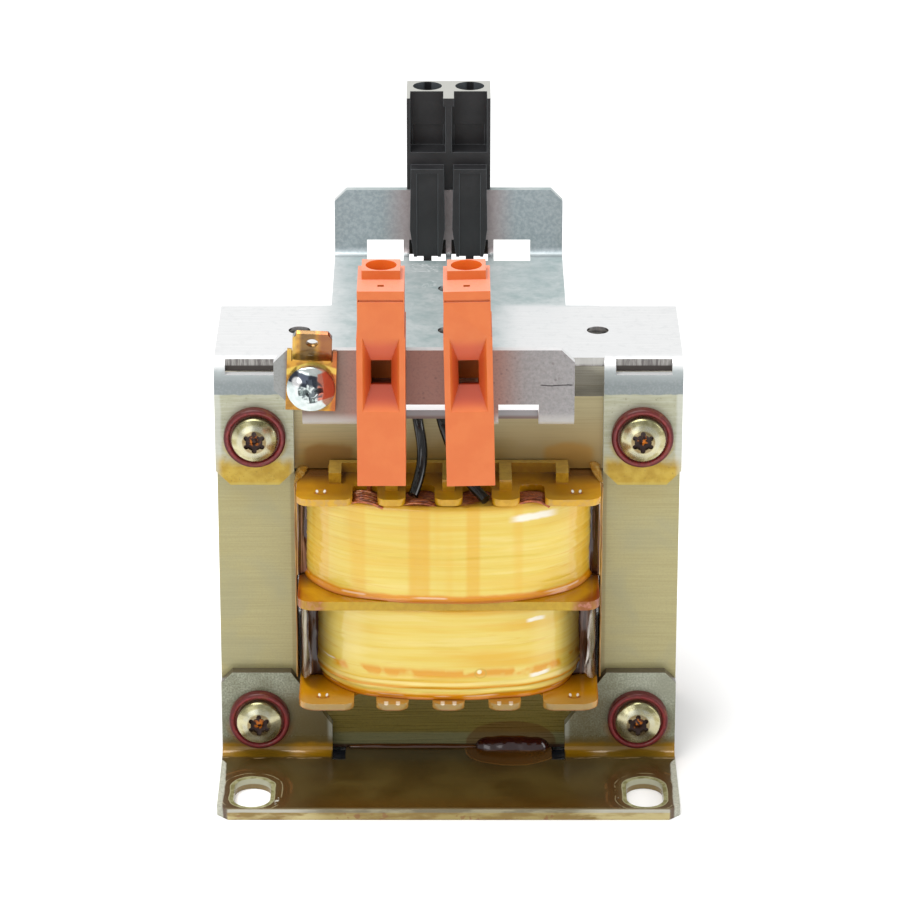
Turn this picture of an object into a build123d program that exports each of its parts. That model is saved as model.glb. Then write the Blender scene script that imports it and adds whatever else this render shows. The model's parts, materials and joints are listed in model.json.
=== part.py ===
# Control transformer: E-I lamination core, two-chamber bobbin, folded feet and a folded terminal bracket.
# Millimetres. +Z is up, -Y is the front, where the orange terminals are, and X runs to the right from there.
# The origin is the middle of the four foot slots, on the plane that the feet stand on.
from build123d import *
import math
import os

os.makedirs("parts", exist_ok=True)

# Core laminations
centre_leg = 26.0
outer_leg = 13.0
yoke = 13.0
window_width = 13.0
window_height = 39.0
stack = 26.0
pair_pitch = 1.0            # two sheets laid together
pair_gap = 0.04             # varnish film between two pairs

# Foot brackets
foot_sheet = 2.0
foot_bend = 1.2             # inside radius
foot_reach = 24.2           # from the core's face to the flange's edge
foot_corner = 1.9
tab_width = 19.0
tab_rise = 15.0             # above the core's bottom
tab_slope_width = 7.0
tab_slope_height = 9.9
tab_corner = 1.9
relief_width = 2.2
relief_depth = 5.0
flange_gap = 0.1            # between the flange's inner edge and the core
slot_width = 6.2
slot_length = 10.8
slot_spread = 66.4          # between slot centres along X
slot_reach = 17.8           # from the core's face to a slot's centre

# Top bracket
plate_sheet = 1.5
plate_bend = 1.5            # inside radius
plate_gap = 5.5             # between the core and the plate
plate_overhang = 0.2        # by which the plate passes the core's sides
plate_lip = 0.2             # by which the plate's front edge passes the core's face
plate_setback = 0.6         # by which its rear edge stands back from the core's face
ear_width = 13.2
ear_overlap = 15.4          # by which an ear reaches below the core's top
ear_corner = 2.5
ear_window_width = 9.4
ear_window_height = 2.6
ear_window_shift = 0.15     # outwards from the bolt
strip_half = 20.2
strip_left = 23.5           # left edge of the front strip
rail_reach = 42.0           # outer face of the front rail from the core's middle
flange_reach = 40.3         # outer face of the rear flange from the core's middle
rail_rise = 12.1            # above the plate's top
rail_left = 28.0
rail_left_floor = 3.2       # lower edge of the rail's left end above the plate's top
rail_corner = 2.1
inner_corner = 1.2
window_pitch = 7.5
rail_window_width = 6.5
rail_window_depth = 4.8     # from the rail's outer face back
rail_window_rise = 2.8      # above the plate's top
plate_hole = 1.85           # radius
side_hole_spread = 50.6
middle_hole_spread = 42.0

# Core bolts, washers, sleeves and nuts
bolt_radius = 2.0
bolt_play = 0.05            # radial, between bolt, sleeve and hole
sleeve_wall = 0.5
head_radius = 3.9
head_height = 2.5
head_rim = 1.2
head_edge = 0.6
star_radius = 1.42
star_lobe = 0.42
star_reach = 1.52
recess_depth = 1.5
washer_radius = 5.2
washer_floor = 1.0
washer_rim = 0.7
washer_dish = 4.25          # radius of the dish that takes the head
nut_flats = 7.0
nut_height = 3.2
nut_chamfer = 0.4
bolt_tail = 1.3

# Bobbin
bobbin_play = 0.2           # to the core's yokes
tube_play = 0.4             # to the centre leg, each side
tube_wall = 1.2
flange_half = 25.4
flange_thickness = 1.2
divider_thickness = 1.6
bobbin_reach = 26.4         # front of the flanges from the core's middle
lug_root = 19.5             # bottom of the notches between the lugs
lug_pitch = 9.5
top_lug_width = 4.7
bottom_lug_width = 5.5
corner_lug_inner = 16.0
top_lug_corner = 1.6        # radius
bottom_lug_corner = 1.8
top_end_corner = 2.4        # radius of the flange's own corners
bottom_end_corner = 3.0
notch_corner = 1.7
dimple_radius = 1.2
dimple_depth = 0.3
dimple_spread = 42.6
dimple_reach = 22.8
divider_corner = 2.6
wall_play = 0.4             # between the upstand wall and the core's face
wall_thickness = 1.2
wall_rise = 1.9
wall_half = 20.3
wall_corner = 1.2           # radius of its upper corners
rib_width = 2.1
outer_rib_x = 19.0
outer_rib_reach = 19.3
inner_rib_reach = 22.4

# Windings, tape and films
coil_play = 0.1
upper_coil_half_x = 24.8
upper_coil_proud = 0.8      # by which the upper winding passes the bobbin's flanges at front and rear
upper_coil_half_y = bobbin_reach + upper_coil_proud
upper_coil_crown = 6.0      # rise of the front and rear from their ends to the middle
upper_coil_corner = 15.5
lower_coil_half_x = 23.2
lower_coil_setback = 0.6    # by which the lower winding stays short of them
lower_coil_half_y = bobbin_reach - lower_coil_setback
lower_coil_crown = 5.0
lower_coil_corner = 14.5
coil_crown_x = 0.4
tape_thickness = 0.7
tape_margin = 0.5           # by which the tape stays short of the flanges
tape_edge = 0.45
film_thickness = 0.25
leg_film_proud = 2.0
leg_film_margin = 1.2
side_film_back = 16.0
side_film_tip_x = 22.9
side_film_tip_y = 24.6
side_film_bow = 0.6         # inwards halfway along the curled end

# Terminals, measured from the rail that carries them
rail_play = 0.15
orange_width = 7.7
orange_depth = 12.1
orange_rise = 13.8          # above the rail
orange_skirt = 19.05        # below the rail's top
orange_shift = 0.6          # inwards from the middle of the rail's window
orange_lean = -1.3          # degrees, the right-hand housing only
boss_width = 6.1
boss_depth = 5.45
boss_setback = 5.5
boss_rise = 1.5
upper_inset = 0.15          # each side, above the wire entry
band_height = 1.4
groove_height = 0.4
groove_depth = 0.3
driver_radius = 2.45
skirt_wall = 1.8
side_wall = 1.1
black_width = 14.75
black_reach = 12.3          # outwards from the flange's outer face
black_step = 3.3            # by which the upper part stands back
black_rise = 16.9
black_step_rise = 12.9
black_skirt = 12.6
black_screw_reach = 6.0
black_driver_radius = 2.55
panel_depth = 4.3
panel_floor = 7.0           # above the rail
panel_width = 6.2
funnel_width = 5.8
funnel_height = 12.45
funnel_centre = -0.2        # above the rail's top
funnel_depth = 2.6
entry_width = 3.2
entry_height = 4.1
entry_centre = -0.7
leg_width = 5.8
leg_bulge = 6.2
leg_tip = 4.8
leg_thickness = 2.7
leg_top = 4.7               # above the rail's top
leg_bulge_drop = 6.5        # below the rail's top
leg_foot = 0.5              # above the plate
leg_shelf = 0.4
leg_rib = 1.05
nub_width = 1.4
hook_half = 2.3
cage_width = 5.2
cage_height = 9.6
cage_wall = 0.8
cage_play = 0.15
cage_bottom = -5.9          # from the rail's top
cage_top_wall = 2.2
clamp_screw_radius = 1.5
clamp_head_radius = 2.2
clamp_head_height = 1.8
clamp_seat = 5.5            # above the rail's top
clamp_tip = 0.4
clamp_slot = 0.6
cavity_floor = 1.2
strip_thickness = 0.7
strip_width = 3.0
orange_tail = 15.6          # reach of the solder tail below the rail's top
black_tail = 17.2
black_tail_width = 1.4

# Earth tab, its screw, lock washer and nut
earth_x = -22.0
earth_sheet = 0.8
earth_width = 8.0
earth_height = 10.3
earth_floor = 2.1           # above the plate's top
earth_lean = 2.4            # degrees
earth_screw_rise = 6.2      # above the plate's top
blade_width = 6.3
blade_length = 6.4
blade_bend = 0.6
blade_root = 1.9            # below the top of the tab's shoulders
blade_tilt = 30.0
blade_corner = 0.65         # across the blade
blade_corner_length = 1.1
blade_hole = 0.95
blade_hole_reach = 2.2      # from the tip
blade_slit = 0.1
earth_screw_length = 7.6
cross_width = 0.95
cross_length = 4.0
cross_heart = 1.9           # the square in the middle of the cross recess
earth_screw_turn = 8.0      # degrees
lock_washer_radius = 3.9
lock_washer_thickness = 0.5
lock_washer_teeth = 12
lock_washer_gap = 0.8       # between two teeth
lock_washer_gap_depth = 1.0

# Leads
lead_radius = 0.9
copper_lead_radius = 0.45
lead_play = 0.06            # between a lead's end and the tail that it is soldered to
lead_drop = 0.9             # from a black lead's end to the winding
lead_sag = 0.4              # from the black terminal to the core's edge
lead_turn = 0.5             # from the core's face to the point where a black lead turns down
black_lead_edges = {"left": -5.8, "right": -1.9}           # X at the core's edge
black_lead_ends = {"left": (-5.9, -23.6), "right": (6.2, -25.4)}
copper_lead_shift = {"left": -2.6, "right": 0.9}           # X from the tail to the end
copper_lead_reach = 20.5    # of the copper leads' ends from the core's middle
copper_tail_shift = {"left": 0.0, "right": 0.35}
# Each row: share of the way along Y, share of the fall, sway along X in lead radii
over_core = {"left": [(0.227, 0.5, 0.79), (0.534, -0.25, 0.38), (0.824, 0.25, -0.07)],
             "right": [(0.227, -0.25, 0.48), (0.534, 0.5, 0.52), (0.824, 0.0, 0.0)]}
down_front = {"left": [(0.515, 0.2125, 0.6), (0.604, 0.5875, 1.84), (0.782, 0.8625, 1.2)],
              "right": [(0.43, 0.2, -3.5), (0.546, 0.55, -2.36), (0.68, 0.8625, -1.1)]}
behind_block = {"left": [(0.236, 0.044, 0.9), (0.491, 0.2335, 1.5), (0.749, 0.47, 0.55), (0.949, 0.755, 0.1)],
                "right": [(0.236, 0.05, 0.4), (0.491, 0.245, -0.5), (0.749, 0.47, 0.3), (0.949, 0.755, 0.1)]}

# Places worked out from the sizes above
core_width = centre_leg + 2 * window_width + 2 * outer_leg
core_height = window_height + 2 * yoke
core_bottom = foot_sheet
core_top = core_bottom + core_height
core_face = stack / 2
window_bottom = core_bottom + yoke
window_top = window_bottom + window_height
bolt_x = core_width / 2 - outer_leg / 2
plate_width = core_width + 2 * plate_overhang
low_bolt_z = core_bottom + yoke / 2
high_bolt_z = core_top - yoke / 2
sleeve_radius = bolt_radius + bolt_play + sleeve_wall
bolt_hole = sleeve_radius + bolt_play
plate_bottom = core_top + plate_gap
plate_top = plate_bottom + plate_sheet
rail_top = plate_top + rail_rise
bobbin_bottom = window_bottom + bobbin_play
bobbin_top = window_top - bobbin_play
divider_z = (bobbin_bottom + bobbin_top) / 2
tube_inside = centre_leg + 2 * tube_play
tube_outside = tube_inside + 2 * tube_wall
corners = [(sx, z, sheet) for z, sheet in ((low_bolt_z, foot_sheet), (high_bolt_z, plate_sheet))
           for sx in (-bolt_x, bolt_x)]


def block(x0, x1, y0, y1, z0, z1):
    return Pos((x0 + x1) / 2, (y0 + y1) / 2, (z0 + z1) / 2) * Box(abs(x1 - x0), abs(y1 - y0), abs(z1 - z0))


def rod_y(x, z, radius, y0, y1):
    return Pos(x, (y0 + y1) / 2, z) * Rot(90, 0, 0) * Cylinder(radius, abs(y1 - y0))


def rod_z(x, y, radius, z0, z1):
    return Pos(x, y, (z0 + z1) / 2) * Cylinder(radius, abs(z1 - z0))


def prism_y(outline, y0, y1):
    """A closed outline of (x, z) points, carried from y0 to y1."""
    face = make_face(Polyline(*[(x, y0, z) for x, z in outline], close=True))
    return extrude(face, amount=abs(y1 - y0), dir=(0, 1 if y1 > y0 else -1, 0))


def turned(shape):
    """The same piece for the other side of the core."""
    return Rot(0, 0, 180) * shape


def save(shape, node):
    export_step(shape, "parts/" + node + ".step")


def folded_sheet(x0, x1, y_edge, y_face, z_low, z_end, thickness, bend):
    """A sheet lying from y_edge to y_face with its lower side at z_low, folded up or down there to z_end.
    y_face is the outside of the fold."""
    s = math.copysign(1, y_face - y_edge)
    v = math.copysign(1, z_end - z_low)
    z_out = z_low if v > 0 else z_low + thickness
    z_in = z_out + v * thickness
    outside = bend + thickness
    cy, cz = y_face - s * outside, z_out + v * outside
    slant = math.sqrt(0.5)
    outer = [(y_edge, z_out), (cy, z_out), (cy + s * outside * slant, cz - v * outside * slant),
             (y_face, cz), (y_face, z_end)]
    inner = [(y_face - s * thickness, z_end), (y_face - s * thickness, cz),
             (cy + s * bend * slant, cz - v * bend * slant), (cy, z_in), (y_edge, z_in)]
    points = [Vector(x0, y, z) for y, z in outer + inner]
    edges = [Edge.make_line(points[0], points[1]), Edge.make_three_point_arc(points[1], points[2], points[3]),
             Edge.make_line(points[3], points[4]), Edge.make_line(points[4], points[5]),
             Edge.make_line(points[5], points[6]), Edge.make_three_point_arc(points[6], points[7], points[8]),
             Edge.make_line(points[8], points[9]), Edge.make_line(points[9], points[0])]
    return extrude(make_face(edges), amount=x1 - x0, dir=(1, 0, 0))


def build_core():
    """Pairs of E and I laminations, with the E's back up and down by turns."""
    thickness = pair_pitch - pair_gap
    half, opening = core_width / 2, centre_leg / 2 + window_width
    e_sheet = block(-half, half, 0, thickness, 0, yoke + window_height)
    for side in (-1, 1):
        e_sheet -= block(side * centre_leg / 2, side * opening, -1, thickness + 1,
                         yoke, yoke + window_height + 1)
        e_sheet -= rod_y(side * bolt_x, yoke / 2, bolt_hole, -1, thickness + 1)
    i_sheet = block(-half, half, 0, thickness, 0, yoke)
    for side in (-1, 1):
        i_sheet -= rod_y(side * bolt_x, yoke / 2, bolt_hole, -1, thickness + 1)
    e_up = Pos(0, 0, core_bottom) * e_sheet
    e_down = Pos(0, thickness, core_top) * Rot(180, 0, 0) * e_sheet
    i_low = Pos(0, 0, core_bottom) * i_sheet
    i_high = Pos(0, 0, core_top - yoke) * i_sheet
    e_all, i_all = [], []
    for layer in range(round(stack / pair_pitch)):
        place = Pos(0, -core_face + pair_gap / 2 + layer * pair_pitch, 0)
        e_all.append(place * (e_up if layer % 2 else e_down))
        i_all.append(place * (i_high if layer % 2 else i_low))
    return Compound(children=e_all), Compound(children=i_all)


def build_foot():
    """The front foot bracket: a flange with two slots and two tabs folded up against the core."""
    half = core_width / 2
    face, edge = -core_face, -core_face - foot_reach
    inner = half - tab_width
    foot = folded_sheet(-half, half, edge, face, 0, core_bottom + tab_rise, foot_sheet, foot_bend)
    foot -= block(-inner, inner, face - foot_sheet - foot_bend, face + 1, -1, core_bottom + tab_rise + 1)
    foot += block(-inner + relief_width, inner - relief_width,
                  face - foot_sheet - foot_bend, face - flange_gap, 0, foot_sheet)
    tab_top = core_bottom + tab_rise
    for side in (-1, 1):
        foot -= block(side * inner, side * (inner - relief_width), face - relief_depth, face + 1,
                      -1, foot_sheet + 1)
        foot -= prism_y([(side * inner, tab_top - tab_slope_height),
                         (side * (inner + tab_slope_width), tab_top),
                         (side * (inner + tab_slope_width), tab_top + 1), (side * (inner - 1), tab_top + 1),
                         (side * (inner - 1), tab_top - tab_slope_height)], face + 1, face - foot_sheet - 1)
        foot -= prism_y([(side * half, tab_top - tab_corner), (side * (half - tab_corner), tab_top),
                         (side * half, tab_top + 1), (side * (half + 1), tab_top + 1),
                         (side * (half + 1), tab_top - tab_corner)], face + 1, face - foot_sheet - 1)
        corner = Polyline((side * half, edge + foot_corner, -1), (side * (half - foot_corner), edge, -1),
                          (side * (half + 1), edge - 1, -1), close=True)
        foot -= extrude(make_face(corner), amount=foot_sheet + 2, dir=(0, 0, 1))
        slot = Rot(0, 0, 90) * SlotOverall(slot_length, slot_width)
        foot -= extrude(Pos(side * slot_spread / 2, face - slot_reach, -1) * slot, amount=foot_sheet + 2)
        foot -= rod_y(side * bolt_x, low_bolt_z, bolt_hole, face + 1, face - foot_sheet - 1)
    return foot


def ear_pair(sign):
    """The two ears at one face of the core, each with a window cut across its fold."""
    outer_face = core_face + plate_sheet
    ear_end = core_top - ear_overlap
    half = plate_width / 2
    ears = None
    for side in (-1, 1):
        x0, x1 = sorted((side * half, side * (half - ear_width)))
        ear = folded_sheet(x0, x1, 0, sign * outer_face, plate_bottom, ear_end, plate_sheet, plate_bend)
        middle = side * (bolt_x + ear_window_shift)
        ear -= block(middle - ear_window_width / 2, middle + ear_window_width / 2,
                     sign * (outer_face + 1), sign * (core_face - plate_lip / 2),
                     plate_top - ear_window_height, plate_top + 1)
        for x, inward in ((x0, 1), (x1, -1)):
            ear -= prism_y([(x, ear_end + ear_corner), (x + inward * ear_corner, ear_end),
                            (x + inward * ear_corner, ear_end - 1), (x - inward, ear_end - 1),
                            (x - inward, ear_end + ear_corner)],
                            sign * (core_face - 1), sign * (outer_face + 1))
        ear -= rod_y(side * bolt_x, high_bolt_z, bolt_hole, sign * (core_face - 1), sign * (outer_face + 1))
        ears = ear if ears is None else ears + ear
    return ears


def rail_windows(columns, sign, reach):
    """Windows cut across a rail's fold, one for each column."""
    cuts = []
    for column in columns:
        x = column * window_pitch
        cuts.append(block(x - rail_window_width / 2, x + rail_window_width / 2,
                          sign * (reach - rail_window_depth), sign * (reach + 1),
                          plate_bottom - 1, plate_top + rail_window_rise))
    return cuts


def build_top_bracket():
    """One sheet: a plate on four ears, a strip to the front rail and one to the rear flange."""
    half_middle = plate_width / 2 - ear_width
    bracket = ear_pair(-1) + ear_pair(1)
    bracket += block(-half_middle, half_middle, -core_face - plate_lip, core_face - plate_setback,
                     plate_bottom, plate_top)
    front = folded_sheet(-strip_left, strip_half, 0, -rail_reach, plate_bottom, rail_top,
                         plate_sheet, plate_bend)
    rear = folded_sheet(-strip_half, strip_half, 0, flange_reach, plate_bottom, rail_top,
                        plate_sheet, plate_bend)
    end = block(-rail_left, -strip_left, -rail_reach, -rail_reach + plate_sheet,
                plate_top + rail_left_floor, rail_top)
    bracket += front + rear + end
    left_floor = plate_top + rail_left_floor
    y0, y1 = -rail_reach - 1, -rail_reach + plate_sheet + 1
    for x, z, inward, down in ((-rail_left, rail_top, 1, 1), (-rail_left, left_floor, 1, -1),
                               (strip_half, rail_top, -1, 1)):
        bracket -= prism_y([(x, z - down * rail_corner), (x + inward * rail_corner, z),
                            (x + inward * rail_corner, z + down), (x - inward, z + down),
                            (x - inward, z - down * rail_corner)], y0, y1)
    y0, y1 = flange_reach - plate_sheet - 1, flange_reach + 1
    for side in (-1, 1):
        bracket -= prism_y([(side * strip_half, rail_top - rail_corner),
                            (side * (strip_half - rail_corner), rail_top),
                            (side * (strip_half - rail_corner), rail_top + 1),
                            (side * (strip_half + 1), rail_top + 1),
                            (side * (strip_half + 1), rail_top - rail_corner)], y0, y1)
    columns = [-1.5, -0.5, 0.5, 1.5]
    for cut in rail_windows(columns, -1, rail_reach) + rail_windows(columns, 1, flange_reach):
        bracket -= cut
    holes = [(-side_hole_spread / 2, 0), (side_hole_spread / 2, 0), (0, 0),
             (0, -middle_hole_spread / 2), (0, middle_hole_spread / 2)]
    for x, y in holes:
        bracket -= rod_z(x, y, plate_hole, plate_bottom - 1, plate_top + 1)
    bracket -= rod_y(earth_x, plate_top + earth_screw_rise, bolt_radius + bolt_play,
                     -rail_reach - 1, -rail_reach + plate_sheet + 1)
    return bracket


def pan_head():
    """A round pan head on the plane z = 0, with a straight rim, a rounded edge and a domed top."""
    crown = head_height - head_rim
    dome = (head_radius ** 2 + crown ** 2) / (2 * crown)
    half = math.asin(head_radius / dome) / 2
    profile = [Edge.make_line((0, 0, 0), (head_radius, 0, 0)),
               Edge.make_line((head_radius, 0, 0), (head_radius, 0, head_rim)),
               Edge.make_three_point_arc((head_radius, 0, head_rim),
                                         (dome * math.sin(half), 0,
                                          head_height - dome * (1 - math.cos(half))),
                                         (0, 0, head_height)),
               Edge.make_line((0, 0, head_height), (0, 0, 0))]
    head = revolve(make_face(profile), Axis.Z)
    rim = [e for e in head.edges().filter_by(GeomType.CIRCLE) if abs(e.center().Z - head_rim) < 0.01]
    return fillet(rim, head_edge)


def star_recess():
    """Six lobes round a core, as deep as the driver goes."""
    star = Cylinder(star_radius, 2 * recess_depth)
    for spot in PolarLocations(star_reach, 6, start_angle=30):
        star += spot * Cylinder(star_lobe, 2 * recess_depth)
    return Pos(0, 0, head_height) * star


def hexagon_nut(radius):
    nut = extrude(RegularPolygon(nut_flats / 2, 6, major_radius=False), amount=nut_height)
    across_corners = nut_flats / math.cos(math.pi / 6)
    blank = Pos(0, 0, nut_height / 2) * Cylinder(across_corners / 2, nut_height)
    nut = nut & chamfer(blank.edges().filter_by(GeomType.CIRCLE), nut_chamfer)
    return nut - Cylinder(radius, 4 * nut_height)


def dished_washer():
    """A washer whose raised rim surrounds the head, floor down on z = 0."""
    washer = Pos(0, 0, (washer_floor + washer_rim) / 2) * Cylinder(washer_radius, washer_floor + washer_rim)
    washer -= Pos(0, 0, washer_floor + washer_rim) * Cylinder(washer_dish, 2 * washer_rim)
    washer -= Cylinder(bolt_radius + bolt_play, 4 * (washer_floor + washer_rim))
    rim = washer.edges().filter_by(GeomType.CIRCLE).sort_by(Axis.Z)[-2:]
    return chamfer(rim, 0.25)


def build_bolting():
    """Bolts, sleeves, washers and nuts at the core's four corners."""
    bolts, sleeves, front_washers, rear_washers, nuts = [], [], [], [], []
    facing_front = Rot(90, 0, 0)
    facing_rear = Rot(-90, 0, 0)
    head = pan_head() - star_recess()
    washer = dished_washer()
    nut = hexagon_nut(bolt_radius + bolt_play)
    for x, z, sheet in corners:
        face = core_face + sheet
        seat = face + washer_floor
        shank = 2 * seat + nut_height + bolt_tail
        bolt = head + Pos(0, 0, -shank / 2) * Cylinder(bolt_radius, shank)
        tip = bolt.edges().filter_by(GeomType.CIRCLE).sort_by(Axis.Z)[:1]
        bolts.append(Pos(x, -seat, z) * facing_front * chamfer(tip, 0.4))
        sleeves.append(rod_y(x, z, sleeve_radius, -face, face)
                       - rod_y(x, z, bolt_radius + bolt_play, -face, face))
        front_washers.append(Pos(x, -face, z) * facing_front * washer)
        rear_washers.append(Pos(x, face, z) * facing_rear * washer)
        nuts.append(Pos(x, seat, z) * facing_rear * Rot(0, 0, 12 if x < 0 else 25) * nut)
    return bolts, sleeves, front_washers, rear_washers, nuts


def flange_plate(z0, z1, small_lug, lug_corner, end_corner):
    """A bobbin flange with a corner lug at each end and three small lugs between, front and rear. The notches
    between them end round, and each corner lug has a shallow dimple on top."""
    flange = block(-flange_half, flange_half, -bobbin_reach, bobbin_reach, z0, z1)
    flange = fillet(flange.edges().filter_by(Axis.Z), end_corner)
    notch_edges = [small_lug / 2, lug_pitch - small_lug / 2, lug_pitch + small_lug / 2, corner_lug_inner]
    for side in (-1, 1):
        for way in (-1, 1):
            for a, b in (notch_edges[:2], notch_edges[2:]):
                notch = block(side * a, side * b, way * lug_root, way * (bobbin_reach + 1), z0 - 1, z1 + 1)
                root = [e for e in notch.edges().filter_by(Axis.Z)
                        if abs(abs(e.center().Y) - lug_root) < 0.01]
                flange -= fillet(root, notch_corner)
    tips = [e for e in flange.edges().filter_by(Axis.Z)
            if abs(abs(e.center().Y) - bobbin_reach) < 0.01 and abs(e.center().X) < corner_lug_inner + 0.1]
    flange = fillet(tips, lug_corner)
    dish = (dimple_radius ** 2 + dimple_depth ** 2) / (2 * dimple_depth)
    for side in (-1, 1):
        for way in (-1, 1):
            centre = Pos(side * dimple_spread / 2, way * dimple_reach, z1 + dish - dimple_depth)
            flange -= centre * Sphere(dish)
    return flange


def build_bobbin():
    """Tube, three flanges, upstand walls and ribs in one moulding."""
    top = flange_plate(bobbin_top - flange_thickness, bobbin_top,
                       top_lug_width, top_lug_corner, top_end_corner)
    bottom = flange_plate(bobbin_bottom, bobbin_bottom + flange_thickness,
                          bottom_lug_width, bottom_lug_corner, bottom_end_corner)
    divider = block(-flange_half, flange_half, -bobbin_reach, bobbin_reach,
                    divider_z - divider_thickness / 2, divider_z + divider_thickness / 2)
    divider = fillet(divider.edges().filter_by(Axis.Z), divider_corner)
    bobbin = top + bottom + divider
    bobbin += block(-tube_outside / 2, tube_outside / 2, -tube_outside / 2, tube_outside / 2,
                    bobbin_bottom, bobbin_top)
    bobbin -= block(-tube_inside / 2, tube_inside / 2, -tube_inside / 2, tube_inside / 2,
                    bobbin_bottom - 1, bobbin_top + 1)
    wall_y = core_face + wall_play
    for way in (-1, 1):
        for z0, z1 in ((bobbin_top, bobbin_top + wall_rise), (bobbin_bottom, bobbin_bottom - wall_rise)):
            wall = block(-wall_half, wall_half, way * wall_y, way * (wall_y + wall_thickness), z0, z1)
            ends = [e for e in wall.edges().filter_by(Axis.Y) if abs(e.center().Z - z1) < 0.01]
            bobbin += fillet(ends, wall_corner)
            for x, reach in ((-outer_rib_x, outer_rib_reach), (-lug_pitch, inner_rib_reach),
                             (0, inner_rib_reach), (lug_pitch, inner_rib_reach),
                             (outer_rib_x, outer_rib_reach)):
                bobbin += block(x - rib_width / 2, x + rib_width / 2, way * wall_y, way * reach, z0, z1)
    return bobbin


def coil_outline(half_x, half_y, crown, corner):
    """A rounded rectangle whose four sides bulge outwards."""
    x, y = half_x - coil_crown_x, half_y - crown
    sides = [Edge.make_three_point_arc((-x, -y, 0), (0, -half_y, 0), (x, -y, 0)),
             Edge.make_three_point_arc((x, -y, 0), (half_x, 0, 0), (x, y, 0)),
             Edge.make_three_point_arc((x, y, 0), (0, half_y, 0), (-x, y, 0)),
             Edge.make_three_point_arc((-x, y, 0), (-half_x, 0, 0), (-x, -y, 0))]
    face = make_face(sides)
    return fillet(face.vertices(), corner)


def build_coil(half_x, half_y, crown, corner, z0, z1):
    """A copper winding in its chamber, and the tape round it."""
    tube = block(-tube_outside / 2 - coil_play, tube_outside / 2 + coil_play,
                 -tube_outside / 2 - coil_play, tube_outside / 2 + coil_play, z0 - 1, z1 + 1)
    low, high = z0 + coil_play, z1 - coil_play
    copper_outline = coil_outline(half_x - tape_thickness, half_y - tape_thickness, crown,
                                  corner - tape_thickness)
    copper = extrude(Pos(0, 0, low) * copper_outline, amount=high - low) - tube
    tape_low, tape_high = low + tape_margin, high - tape_margin
    tape = extrude(Pos(0, 0, tape_low) * coil_outline(half_x, half_y, crown, corner),
                   amount=tape_high - tape_low)
    rims = [e for e in tape.edges()
            if abs(e.center().Z - tape_low) < 0.01 or abs(e.center().Z - tape_high) < 0.01]
    tape = fillet(rims, tape_edge)
    tape -= extrude(Pos(0, 0, low - 1) * copper_outline, amount=high - low + 2)
    return copper, tape


def leg_films():
    """A flat film between the bobbin and each outer leg, proud of the core at both faces."""
    inside = centre_leg / 2 + window_width
    middle = (flange_half + inside) / 2
    films = []
    for side in (-1, 1):
        films.append(block(side * (middle - film_thickness / 2), side * (middle + film_thickness / 2),
                           -core_face - leg_film_proud, core_face + leg_film_proud,
                           window_bottom + leg_film_margin, window_top - leg_film_margin))
    return films


def side_films():
    """A film down each side of the lower winding, its front and rear ends curled round the corners."""
    outside = flange_half - film_thickness
    z0 = bobbin_bottom + flange_thickness + coil_play
    z1 = divider_z - divider_thickness / 2 - coil_play
    films = []
    for side in (-1, 1):
        middle = (outside - side_film_bow, (side_film_back + side_film_tip_y) / 2)
        bend = [(side * outside, side_film_back), (side * middle[0], middle[1]),
                (side * side_film_tip_x, side_film_tip_y)]
        spine = [Edge.make_three_point_arc((bend[2][0], -bend[2][1], 0), (bend[1][0], -bend[1][1], 0),
                                           (bend[0][0], -bend[0][1], 0)),
                 Edge.make_line((bend[0][0], -bend[0][1], 0), (bend[0][0], bend[0][1], 0)),
                 Edge.make_three_point_arc((bend[0][0], bend[0][1], 0), (bend[1][0], bend[1][1], 0),
                                           (bend[2][0], bend[2][1], 0))]
        outline = []
        for edge in spine:
            steps = 6 if edge.geom_type == GeomType.CIRCLE else 1
            for k in range(steps):
                outline.append((edge @ (k / steps), edge % (k / steps)))
        outline.append((spine[-1] @ 1, spine[-1] % 1))
        left = [p + Vector(-t.Y, t.X, 0) * film_thickness / 2 for p, t in outline]
        right = [p - Vector(-t.Y, t.X, 0) * film_thickness / 2 for p, t in outline]
        ring = Polyline(*(left + right[::-1]), close=True)
        films.append(extrude(Pos(0, 0, z0) * make_face(ring), amount=z1 - z0, dir=(0, 0, 1)))
    return films


# The terminals are drawn on the front rail with its outer face at y = 0 and its top at z = 0.
plate_level = -rail_rise
inner_face = plate_sheet
orange_front = inner_face - orange_depth
orange_axis = orange_front + boss_setback + boss_depth / 2


def funnel(front, x):
    """The wire entry: a tapered mouth and a square hole behind it."""
    mouth = Plane(origin=(x, front, funnel_centre), x_dir=(1, 0, 0), z_dir=(0, -1, 0))
    throat = Plane(origin=(x, front + funnel_depth, entry_centre), x_dir=(1, 0, 0), z_dir=(0, -1, 0))
    return loft([mouth * Rectangle(funnel_width, funnel_height),
                 throat * Rectangle(entry_width, entry_height)])


def clamp_cavity(x, y_out, y_in):
    """The hollow that holds the clamp cage, with play all round."""
    half = cage_width / 2 + cage_play
    return block(x - half, x + half, y_out, y_in,
                 cage_bottom - cage_play, cage_bottom + cage_height + cage_play)


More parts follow.
